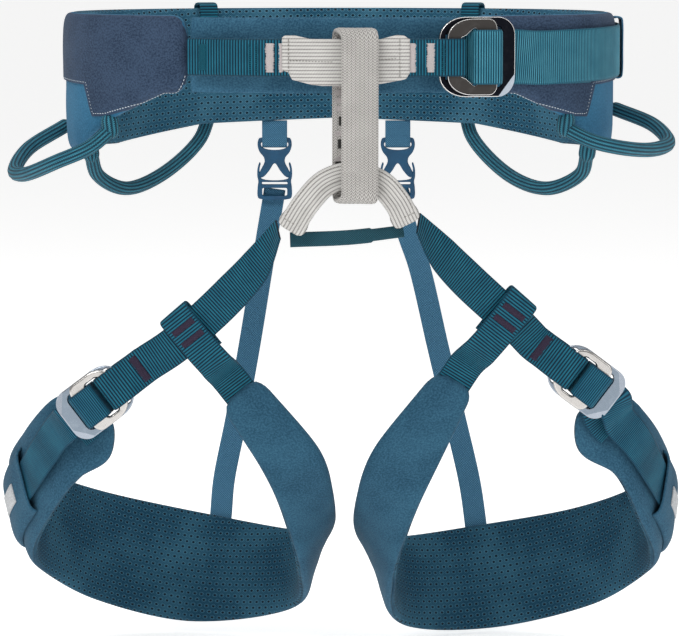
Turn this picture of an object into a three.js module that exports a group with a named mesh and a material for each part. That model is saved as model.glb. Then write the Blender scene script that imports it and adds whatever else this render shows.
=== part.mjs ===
// Sport climbing harness, size M: padded waist belt with a double-ring buckle, sleeved tie-in
// points, belay loop, two adjustable leg loops on elastic risers and four gear loops.
// Millimetres, +Z up, front towards -Y, +X to the viewer's right. The origin is the middle of the
// waist opening at the mid-height of the front webbing.
import * as THREE from 'three';

// ---- driving dimensions ----
const WAIST = { halfX: 157, halfY: 115, power: 2.2 }; // outer outline of the belt, seen from above
const BELT_LAYERS = { shell: [-1.4, 0], load: [-3.3, -1.7], foam: [-7.3, -3.6], lining: [-9, -7.6] };
const BELT_SPAN = [34, 320]; // degrees round the belt from the front centre, by way of the right
const BELT_LOWER = [[34, -21], [46, -21], [60, -35], [75, -54], [90, -57], [115, -57], [140, -47],
  [180, -44]];
const TONGUE_HALF = 20.6;
const WEB_T = 1.6; // one layer of webbing
const FRONT_WEB = { t: 3, halfZ: 10.2, z: -0.8, off: 8.5 };
const SLEEVE = { wall: 1.3, gap: 0.4 };
const BELAY = { x: 8.5, y: -123.5, gap: 11.8, t: 3.8, halfW: 10, top: 15.4, bottom: -79.8, turn: 0.62 };
const PAD_LAYERS = { shell: [-1.4, 0], foam: [-6.8, -1.7], lining: [-8.5, -7.1] };
const LEG_WEB_HALF = 10.4;
const CORD_R = 4.2; // sheathed gear-loop cord
const RISER_HALF = 6.6;

// ---- colours ----
const COLORS = {
  webbing: ['#146a7c', 0.75],
  fabric: ['#235f87', 0.7],
  panel: ['#3e4a64', 0.75],
  mesh: ['#1e5573', 0.9],
  foam: ['#3a4148', 0.95],
  sleeve: ['#cdcbc8', 0.8],
  belay: ['#beb9b4', 0.75],
  cord: ['#177186', 0.6],
  elastic: ['#2d648c', 0.85],
  clip: ['#0a5078', 0.45],
  label: ['#e6e6e4', 0.8],
};
const METALS = { black: ['#1c1d20', 0.35], grey: ['#4c4a48', 0.3], silver: ['#c3c6ca', 0.22],
  slate: ['#6c7c8c', 0.3] };

const group = new THREE.Group();
group.name = 'climbing_harness';

const materials = {};
for (const [name, [color, roughness]] of Object.entries(COLORS)) {
  materials[name] = new THREE.MeshStandardMaterial({ name, color, roughness, metalness: 0 });
}
for (const [name, [color, roughness]] of Object.entries(METALS)) {
  materials[name] = new THREE.MeshStandardMaterial({ name, color, roughness, metalness: 0.9 });
}

// ---- helpers ----
const V = (x, y, z) => new THREE.Vector3(x, y, z);
const rad = THREE.MathUtils.degToRad;
const lerp = THREE.MathUtils.lerp;

function add(name, geometry, material) {
  geometry.computeVertexNormals();
  const mesh = new THREE.Mesh(geometry, materials[material]);
  mesh.name = name;
  group.add(mesh);
}

// Value at x in a list of [x, value] pairs, straight between them.
function along(pairs, x) {
  if (x <= pairs[0][0]) return pairs[0][1];
  for (let i = 1; i < pairs.length; i++) {
    const [x0, v0] = pairs[i - 1];
    const [x1, v1] = pairs[i];
    if (x <= x1) return lerp(v0, v1, (x - x0) / (x1 - x0));
  }
  return pairs[pairs.length - 1][1];
}

function range(from, to, count) {
  return Array.from({ length: count }, (_, i) => lerp(from, to, i / (count - 1)));
}

// Closed triangle mesh from points and faces, turned so that it faces outwards.
function solid(points, faces) {
  let volume = 0;
  for (const [a, b, c] of faces) {
    volume += points[a].dot(V().crossVectors(points[b], points[c]));
  }
  const geometry = new THREE.BufferGeometry();
  const index = faces.flatMap(([a, b, c]) => (volume > 0 ? [a, b, c] : [a, c, b]));
  geometry.setAttribute('position', new THREE.Float32BufferAttribute(points.flatMap((p) => p.toArray()),
    3));
  geometry.setIndex(index);
  return geometry;
}

// Carries a closed outline along a row of frames. A frame has an origin p, an across direction w
// and an outward direction n; outline(frame) gives [across, outward] pairs in mm, an even number
// of them, so that the ends can be closed by pairing the first half with the second.
function sweep(frames, outline, closed = false) {
  const rings = frames.map((f) => placed(f, outline));
  const n = rings[0].length;
  const faces = [];
  const quad = (a, b, c, d) => faces.push([a, b, c], [a, c, d]);
  const spans = closed ? rings.length : rings.length - 1;
  for (let i = 0; i < spans; i++) {
    const a = i * n;
    const b = ((i + 1) % rings.length) * n;
    for (let j = 0; j < n; j++) {
      const k = (j + 1) % n;
      if (j < n / 2) quad(a + j, a + k, b + k, b + j);
      else quad(a + k, b + k, b + j, a + j);
    }
  }
  const end = (rings.length - 1) * n;
  for (let j = 0; !closed && j < n / 2 - 1; j++) {
    quad(n - 1 - j, n - 2 - j, j + 1, j);
    quad(end + j, end + j + 1, end + n - 2 - j, end + n - 1 - j);
  }
  return solid(rings.flat(), faces);
}

function placed(f, outline) {
  return outline(f).map(([a, b]) => f.p.clone().addScaledVector(f.w, a).addScaledVector(f.n, b));
}

// Like sweep, for a tube with a wall: outer and inner outlines have the same number of points.
function hollowSweep(frames, outer, inner) {
  const rings = frames.flatMap((f) => [placed(f, outer), placed(f, inner)]);
  const n = rings[0].length;
  const faces = [];
  const quad = (a, b, c, d) => faces.push([a, b, c], [a, c, d]);
  for (let j = 0; j < n; j++) {
    const k = (j + 1) % n;
    for (let i = 0; i < frames.length - 1; i++) {
      const a = 2 * i * n;
      const b = a + 2 * n;
      quad(a + j, a + k, b + k, b + j);
      quad(a + n + j, b + n + j, b + n + k, a + n + k);
    }
    const e = 2 * (frames.length - 1) * n;
    quad(j, n + j, n + k, k);
    quad(e + j, e + k, e + n + k, e + n + j);
  }
  return solid(rings.flat(), faces);
}

const strip = (half, low, high) => () => [[-half, low], [half, low], [half, high], [-half, high]];

// Frames along a row of points; across is one direction or one per point.
function pathFrames(points, across, closed = false) {
  const last = points.length - 1;
  return points.map((p, i) => {
    const before = points[closed ? (i + last) % (last + 1) : Math.max(i - 1, 0)];
    const after = points[closed ? (i + 1) % (last + 1) : Math.min(i + 1, last)];
    const a = p.clone().sub(before).normalize();
    const b = after.clone().sub(p).normalize();
    const t = a.add(b).normalize();
    const w = (Array.isArray(across) ? across[i] : across).clone().normalize();
    return { p, w, n: V().crossVectors(t, w).normalize(), t };
  });
}

function smooth(points, count, closed = false) {
  const curve = new THREE.CatmullRomCurve3(points, closed, 'centripetal');
  return range(0, 1, count).map((u) => curve.getPoint(u));
}

// A flat band of webbing, half its width to each side of the path.
function ribbon(points, across, half, t = WEB_T, closed = false) {
  return sweep(pathFrames(points, across, closed), strip(half, -t / 2, t / 2), closed);
}

// A flat plate with holes, drawn in the plane of two axes and given a thickness along the third.
function plate(outline, holes, frame, low, high, bevel = 0.5) {
  const shape = new THREE.Shape(outline.map(([a, b]) => new THREE.Vector2(a, b)));
  for (const hole of holes) {
    shape.holes.push(new THREE.Path(hole.map(([a, b]) => new THREE.Vector2(a, b))));
  }
  const options = { depth: high - low - 2 * bevel, bevelEnabled: bevel > 0, bevelSize: bevel,
    bevelThickness: bevel,
    bevelOffset: -bevel, bevelSegments: 1 };
  const raw = new THREE.ExtrudeGeometry(shape, options);
  raw.translate(0, 0, low + bevel);
  raw.applyMatrix4(new THREE.Matrix4().makeBasis(frame.x, frame.y, frame.z).setPosition(frame.o));
  return raw;
}

// Rectangle with cut corners, counter-clockwise.
function cutRect(x0, x1, y0, y1, c) {
  return [[x0 + c, y0], [x1 - c, y0], [x1, y0 + c], [x1, y1 - c], [x1 - c, y1], [x0 + c, y1], [x0, y1 - c],
    [x0, y0 + c]];
}

// ---- waist belt ----
// Point on the belt's outer outline at a compass angle from the front centre, at height z.
function beltPoint(deg, z) {
  const s = Math.sin(rad(deg));
  const c = Math.cos(rad(deg));
  const n = WAIST.power;
  const r = (Math.abs(s / WAIST.halfX) ** n + Math.abs(c / WAIST.halfY) ** n) ** (-1 / n);
  return V(r * s, -r * c, z);
}

function beltFrame(deg, z = 0) {
  const t = beltPoint(deg + 0.5, 0).sub(beltPoint(deg - 0.5, 0)).normalize();
  const w = V(0, 0, 1);
  return { p: beltPoint(deg, z), w, n: V().crossVectors(t, w), deg, t };
}

const beltAt = (deg, off, z) => {
  const f = beltFrame(deg, z);
  return f.p.addScaledVector(f.n, off);
};
const fold = (deg) => Math.abs(((deg + 180) % 360 + 360) % 360 - 180);
const beltTop = (deg) => lerp(21.5, 22.7, (1 - Math.cos(rad(deg))) / 2);
const beltLow = (deg) => along(BELT_LOWER, fold(deg));

const beltFrames = range(...BELT_SPAN, 64).map((deg) => beltFrame(deg));
function beltLayer(name, [low, high], material, inset) {
  const outline = ({ deg }) => {
    const z0 = beltLow(deg) + inset;
    const z1 = beltTop(deg) - inset;
    return [[z0, low], [z1, low], [z1, high], [z0, high]];
  };
  add(name, sweep(beltFrames, outline), material);
}

beltLayer('waist_shell', BELT_LAYERS.shell, 'fabric', 0);
beltLayer('waist_foam', BELT_LAYERS.foam, 'foam', 1.5);
beltLayer('waist_lining', BELT_LAYERS.lining, 'mesh', 0);

{
  const frames = beltFrames.filter(({ deg }) => deg > 48 && deg < 308);
  add('waist_load_webbing', sweep(frames, strip(11, ...BELT_LAYERS.load)), 'webbing');
}

// The left wing carries on as a tongue behind the buckle and behind the right wing.
{
  const frames = range(-39.4, 48, 24).map((deg) => beltFrame(deg, 0));
  const outline = ({ deg }) => {
    const back = THREE.MathUtils.smoothstep(deg, 2, 27);
    const high = lerp(-4, -9.5, back);
    return [[-TONGUE_HALF, high - 4.6], [TONGUE_HALF, high - 4.6], [TONGUE_HALF, high],
      [-TONGUE_HALF, high]];
  };
  add('waist_tongue', sweep(frames, outline), 'fabric');
}

// Stitched reinforcing panels over both wings; the lower edge dips and then steps up.
const PANEL_LOWER = [[38, -20], [62, -35], [66, -35.5], [69, -18], [90, -16], [104, -15]];
function panel(name, side, from, to) {
  const list = [...range(from, to, 19), 62, 66, 69].sort((a, b) => a - b);
  const frames = list.map((d) => beltFrame(side * d));
  const outline = ({ deg }) => {
    const z0 = along(PANEL_LOWER, fold(deg));
    const z1 = beltTop(deg) - 0.6;
    return [[z0, 0.4], [z1, 0.4], [z1, 1.5], [z0, 1.5]];
  };
  add(name, sweep(frames, outline), 'panel');
}
panel('waist_panel_left', -1, 39.5, 104);
panel('waist_panel_right', 1, 44, 104);

// ---- buckles ----
// Local axes of a buckle: s along the strap away from the sewn side, h out of the belt, c across.
function buckleAxes(origin, along1, out) {
  const s = along1.clone().normalize();
  const h = out.clone().normalize();
  const c = V().crossVectors(h, s);
  const at = (a, b, z = 0) => origin.clone().addScaledVector(s, a).addScaledVector(h, b).addScaledVector(c,
    z);
  return { o: origin, s, h, c, at, plan: { o: origin, x: s, y: c, z: h } };
}

// Sewn side of a buckle: the webbing passes over both bars, round, and comes back underneath.
const EYE_OVER = [[-6, 1.8], [-2.6, 3.3], [9.2, 3.3], [11, 2.5], [11.8, 0.8]];
const EYE_UNDER = [[11.8, -3.4], [11, -5.2], [9.2, -6], [-2.6, -6], [-7, -4], [-11, -2.4], [-17, -2.3]];
// Adjusting side: up through both openings, over the ring's far bar with room for the plates to
// lift, and down under the frame's far bar.
function adjustPath(b, far) {
  const [near, end] = b.ringBar;
  const drop = (end + b.frameBar) / 2;
  return [[near + 3, -6.6], [15.6, -6.7], [14, -6.3], [13.6, -5], [14.5, -3.4], [near - 2.2, -1],
    [near - 1.8, 1.6], [near - 0.6, 3.4], [near + 1.6, 4.3], [near + 5.6, 4.6], [end - 0.8, 4.7], [drop - 0.9, 4.2],
    [drop, 2.8], [drop + 0.1, 0], [drop + 0.1, -2.6], [drop + 0.8, -4.2], [b.frameBar + 0.9, -4.9],
    [far, -5]];
}
// Heights of the two plates above the strap's plane; the ring lies on the frame.
const RING_LEVEL = [-1.3, 1];
const FRAME_LEVEL = [-3.9, -1.5];
const WAIST_BUCKLE = { ring: [2.4, 30.2], ringBar: [19, 30.2], ringHalf: 20.7, ringOpen: 15.6, near: 10.2,
  frame: [-1.7, 41], frameBar: 33.8, frameHalf: 21.7, frameOpen: 16.8, shoulder: 11.8, web: 12.2, cut: 5 };
const LEG_BUCKLE = { ring: [2.4, 27.4], ringBar: [17.4, 27.4], ringHalf: 15.4, ringOpen: 11.2, near: 9.6,
  frame: [-1.7, 38.6], frameBar: 30.6, frameHalf: 15.4, frameOpen: 11.6, shoulder: 1.7, web: 11.2, cut: 5 };

function buckle(prefix, axes, b, ringMaterial, frameMaterial) {
  const ringHole = cutRect(b.near, b.ringBar[0], -b.ringOpen, b.ringOpen, 1.2);
  add(`${prefix}_ring`, plate(cutRect(...b.ring, -b.ringHalf, b.ringHalf, b.cut), [ringHole], axes.plan,
    ...RING_LEVEL), ringMaterial);
  const open = [[1.7, -b.web], [b.shoulder, -b.web - 0.01], [b.shoulder, -b.frameOpen + 1],
    [b.shoulder + 1, -b.frameOpen],
    [b.frameBar - 1.5, -b.frameOpen], [b.frameBar, -b.frameOpen + 1.5], [b.frameBar, b.frameOpen - 1.5],
    [b.frameBar - 1.5, b.frameOpen], [b.shoulder + 1, b.frameOpen], [b.shoulder, b.frameOpen - 1],
    [b.shoulder, b.web + 0.01], [1.7, b.web]];
  const plain = cutRect(1.7, b.frameBar, -b.frameOpen, b.frameOpen, 1.2);
  const outer = cutRect(...b.frame, -b.frameHalf, b.frameHalf, b.cut + 1);
  add(`${prefix}_frame`, plate(outer, [b.shoulder > 2 ? open : plain], axes.plan, ...FRAME_LEVEL),
    frameMaterial);
}

const waistAxes = buckleAxes(V(56.2, -117.5, -0.7), V(0.9716, 0.2368, 0), V(0.2368, -0.9716, 0));
buckle('waist_buckle', waistAxes, WAIST_BUCKLE, 'grey', 'black');

// Structural webbing across the front, folded round the near bars of the buckle.
{
  const rise = (deg) => lerp(2.3, FRONT_WEB.off, THREE.MathUtils.smoothstep(deg, -39, -20));
  const main = range(-38.8, 16, 15).map((deg) => beltAt(deg, rise(deg), FRONT_WEB.z));
  const eye = [...EYE_OVER, ...EYE_UNDER].map(([s, h]) => waistAxes.at(s, h));
  for (const p of eye) p.z = FRONT_WEB.z;
  const points = [...main, ...eye];
  const frames = pathFrames(points, V(0, 0, 1));
  const thick = (f) => (f.p.x < 36 ? FRONT_WEB.t / 2 : WEB_T / 2);
  const outline = (f) => strip(FRONT_WEB.halfZ, -thick(f), thick(f))();
  add('front_webbing', sweep(frames, outline), 'webbing');
}

// Waist strap: sewn on the right wing, through the buckle, and back along the wing as the tail.
{
  const under = [66, 60, 55, 50].map((deg) => beltAt(deg, 2.7, -1.6));
  const through = [[34, -6.6], ...adjustPath(WAIST_BUCKLE, 42)].map(([s, h]) => waistAxes.at(s, h));
  const tail = [[50, 5.2], [56, 5], [62, 5], [68, 4.8], [74, 3.9], [80, 3.1], [87, 3], [94, 3], [101, 3]];
  const back = tail.map(([deg, off]) => beltAt(deg, off, along([[45, -2], [104, 1.6]], deg)));
  add('waist_strap', ribbon([...under, ...through, ...back], V(0, 0, 1), 14.8, 1.5), 'webbing');
}

// Elastic keeper bridging the strap's tail.
function bridge(half0, half1, wall, inside) {
  const top = inside + wall;
  return () => [[half0, 0.3], [half0, top], [half1, top], [half1, 0.3], [half1 - wall, 0.3],
    [half1 - wall, inside],
    [half0 + wall, inside], [half0 + wall, 0.3]];
}
{
  const frames = range(88.5, 95.5, 5).map((deg) => {
    const f = beltFrame(deg, 1.6);
    f.p.addScaledVector(f.n, 1.5);
    return f;
  });
  add('strap_keeper', sweep(frames, bridge(-17.6, 17.6, 1.2, 2.9)), 'elastic');
}

// ---- tie-in points and belay loop ----
{
  const degs = range(-14.4, 17.8, 12);
  const frames = degs.map((deg) => {
    const f = beltFrame(deg, FRONT_WEB.z);
    f.p.addScaledVector(f.n, FRONT_WEB.off);
    return f;
  });
  const rect = (a, b) => () => [[-a, -b], [a, -b], [a, b], [-a, b]];
  const innerA = FRONT_WEB.halfZ + SLEEVE.gap;
  const innerB = FRONT_WEB.t / 2 + SLEEVE.gap;
  add('tie_in_sleeve', hollowSweep(frames, rect(innerA + SLEEVE.wall - 0.1, innerB + SLEEVE.wall),
    rect(innerA, innerB)), 'sleeve');
}

// Lower tie-in point: a stiffened sleeve bent into an arch through the belay loop.
const ROUNDED = (a, b) => () => [[-a + 1.4, -b], [a - 1.4, -b], [a, -b + 1.2], [a, b - 1.2], [a - 1.4, b],
  [-a + 1.4, b],
  [-a, b - 1.2], [-a, -b + 1.2]];
{
  const points = smooth([V(-26.4, -121, -92.5), V(-18, -122, -79.5), V(-7, -123.2, -68.2),
    V(8, -123.5, -64.2),
    V(22, -123.2, -68.8), V(31, -122, -78.5), V(36.4, -121, -89)], 19);
  const frames = pathFrames(points, V(0, 1, 0)).map(({ p, t }) => ({ p, w: V(-t.z, 0, t.x).normalize(),
    n: V(0, -1, 0) }));
  frames[0].w = V(-0.1, 0, 1).normalize();
  frames[18].w = V(0.1, 0, 1).normalize();
  add('tie_in_arch', sweep(frames, ROUNDED(7.2, 3.2)), 'sleeve');
}

{
  const front = BELAY.y - BELAY.gap / 2 - BELAY.t / 2;
  const back = BELAY.y + BELAY.gap / 2 + BELAY.t / 2;
  const r = (back - front) / 2;
  const rise = r * BELAY.turn;
  const bend = (d, way, z) => {
    const c = Math.cos(rad(d));
    const y = BELAY.y - way * r * Math.sign(c) * Math.abs(c) ** 0.8;
    return V(BELAY.x + way * 2.5 * c, y, z + way * rise * Math.sin(rad(d)) ** 0.8);
  };
  const points = [-62, -45, -28, -10].map((z) => V(BELAY.x + 2.5, front, z));
  for (const d of range(0, 180, 15)) points.push(bend(d, 1, BELAY.top - BELAY.t / 2 - rise));
  for (const z of [-12, -36, -60]) points.push(V(BELAY.x - 2.5, back, z));
  for (const d of range(0, 180, 15)) points.push(bend(d, -1, BELAY.bottom + BELAY.t / 2 + rise));
  add('belay_loop', ribbon(points, V(1, 0, 0), BELAY.halfW, BELAY.t, true), 'belay');
}

// Strap that joins the two leg loops behind the arch.
add('cross_strap', ribbon([V(-26, -113.5, -100.2), V(6, -113.5, -98.8), V(34, -113.5, -95.4)], V(0, 0, 1),
  4.1, 2.4), 'webbing');

// ---- gear loops ----
// Each runs from a belt tab, given as [degrees, offset, height], out and back to another.
const GEAR_LOOPS = {
  front_left: { from: [-62, -4.5, -42.6], by: [[-139, -70, -52], [-157, -67, -60], [-178, -40, -69],
    [-186, -16, -68],
    [-180, 8, -57]], to: [-99, 6.2, -45] },
  front_right: { from: [61, -4.5, -41.6], by: [[139, -71, -48], [154, -67, -52], [177, -40, -55],
    [188, -17, -52],
    [181, 7, -43]], to: [98, 6.2, -35] },
  rear_left: { from: [-104.5, -4.5, -62], by: [[-143, 49, -75], [-128, 65, -84], [-107, 86, -77], [-85, 104.5, -57]],
    to: [-143.5, 6.6, -41] },
  rear_right: { from: [105, -4.5, -62], by: [[143, 49, -74], [125, 65, -84], [103, 87, -78], [81, 106.5, -56]],
    to: [144.5, 6.6, -41] },
};
function cord(points, r, sides = 10) {
  const mid = smooth(points, 25);
  const frames = [];
  let w = V(0, 0, 1);
  for (let i = 0; i < mid.length; i++) {
    const a = mid[Math.max(i - 1, 0)];
    const b = mid[Math.min(i + 1, mid.length - 1)];
    const t = b.clone().sub(a).normalize();
    w = w.clone().addScaledVector(t, -w.dot(t)).normalize();
    frames.push({ p: mid[i], w, n: V().crossVectors(t, w), t });
  }
  const dome = [[0.94, 0.34], [0.77, 0.64], [0.3, 0.95]];
  const cap = (f, way) => dome.map(([d, k]) => ({ ...f, p: f.p.clone().addScaledVector(f.t, way * d * r),
    k }));
  const last = cap(frames[frames.length - 1], 1).reverse();
  const rings = [...cap(frames[0], -1), ...frames.map((f) => ({ ...f, k: 1 })), ...last];
  const outline = ({ k }) => range(0, 360, sides + 1).slice(0,
    sides).map((d) => [r * k * Math.cos(rad(d)), r * k * Math.sin(rad(d))]);
  return sweep(rings, outline);
}
for (const [name, points] of Object.entries(GEAR_LOOPS)) {
  const ends = [points.from, points.to].map((end) => beltAt(...end));
  add(`gear_loop_${name}`, cord([ends[0], ...points.by.map((p) => V(...p)), ends[1]], CORD_R), 'cord');
}

// Webbing tabs that hold the outer ends of the front gear loops on the belt.
for (const [name, loop] of Object.entries(GEAR_LOOPS)) {
  const [deg, off, z] = loop.to;
  if (!name.startsWith('front')) continue;
  const frames = [-2.6, 0, 2.6].map((d) => beltFrame(deg + d, z));
  add(`gear_tab_${name}`, sweep(frames, () => [[-9, 0.4], [12, 0.4], [12, 1.5], [-9, 1.5]]), 'webbing');
}

// Small loops folded over the top edge of the belt at the back.
for (const side of [-1, 1]) {
  const f = beltFrame(side * 141, 0);
  const path = [[-10.1, 12], [-10.1, 22.5], [-9, 24.6], [-4.5, 25.4], [0, 24.6], [1.2, 22.5], [1.2, 12]];
  const points = path.map(([off, z]) => f.p.clone().addScaledVector(f.n, off).setZ(z));
  add(`rear_tab_${side < 0 ? 'left' : 'right'}`, ribbon(points, f.t, 5.6, 1.4), 'webbing');
}

// ---- leg loops ----
// Top and bottom edge of each pad's outer face, from the inner front end round the back.
const PAD_LEFT = {
  top: [[-46, -82, -179], [-11, -74, -222], [-2, -46, -250], [-3, 8, -280], [-22, 48, -288],
    [-80, 66, -280],
    [-138, 52, -265], [-170, 28, -252], [-193, -4, -239], [-182, -40, -216], [-166, -62, -197],
      [-158, -67, -192], [-149, -72, -187]],
  low: [[-66, -82, -197], [-44, -78, -232], [-30, -62, -262], [-19, -30, -300], [-26, 34, -333],
    [-91, 62, -345],
    [-149, 52, -329], [-177, 22, -308], [-182, -10, -293], [-169, -44, -266], [-149, -66, -240],
      [-132, -72, -229], [-123, -76, -212]],
};
const PAD_RIGHT = {
  top: [[54, -82, -176], [19, -74, -222], [8, -46, -253], [9, 8, -283], [31, 48, -292], [84, 66, -287],
    [141, 52, -274], [175, 28, -259], [193, -4, -241], [185, -40, -217], [172, -62, -200], [164, -67, -193],
      [156, -72, -186]],
  low: [[75, -82, -188], [57, -78, -227], [38, -62, -268], [27, -30, -306], [36, 34, -343], [92, 62, -349],
    [154, 52, -332], [182, 22, -310], [187, -10, -295], [176, -44, -269], [158, -66, -238],
      [137, -72, -225], [129, -76, -206]],
};
const LEGS = {
  left: { side: -1, pad: PAD_LEFT, centre: V(-92, -6, -250), pull: V(-0.8, 0, -0.6),
    buckle: V(-121.2, -86, -182),
    strap: [[-33.4, -118.5, -94, 1.2, -9.3, -4.5], [-46, -110.5, -115, 6, -5, -7],
      [-60, -102, -131, 7, -2, -7.3],
      [-74, -96, -145, 7.3, 0, -7.5], [-92, -91, -161, 6.8, 0, -8]],
    joint: V(-83, -93.5, -153), branch: V(0.63, 0, -0.777), riser: -39.5,
    tail: [[0.89, 10.8, 6.4], [0.86, 7.6, 5], [0.83, 4.9, 3.2], [0.8, 3.3, 1.6], [0.77, 2.6, 0.5],
      [0.74, 2.4, 0], [0.7, 2.4, 0], [0.66, 2.4, 0]],
    elastic: [[-40.5, 111, -94], [-44, 108.5, -115], [-48, 105, -140], [-55, 98, -183], [-63, 89, -227],
      [-70, 80, -262]] },
  right: { side: 1, pad: PAD_RIGHT, centre: V(97, -6, -250), pull: V(0.8, 0, -0.6),
    buckle: V(122.4, -86, -170.5),
    strap: [[42.8, -118.5, -90.5, -1.2, -9.3, -4.5], [57, -110.5, -109, -6, -5, -7],
      [70, -102, -123, -7, -2, -7.3],
      [83, -96, -135.5, -7.3, 0, -7.5], [100, -91, -151, -6.8, 0, -8]],
    joint: V(93, -93.5, -144.5), branch: V(-0.62, 0, -0.785), riser: 35.5,
    tail: [[0.95, 8.6, 8.2], [0.915, 6.7, 6.6], [0.88, 4.8, 4.8], [0.85, 3.5, 3], [0.82, 2.7, 1.4],
      [0.79, 2.4, 0.4], [0.75, 2.4, 0], [0.7, 2.4, 0], [0.66, 2.4, 0]],
    elastic: [[37, 111, -93], [41, 108.5, -112], [48.5, 105, -134], [60, 98, -183], [70, 89, -225],
      [79, 80, -264]] },
};

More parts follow.
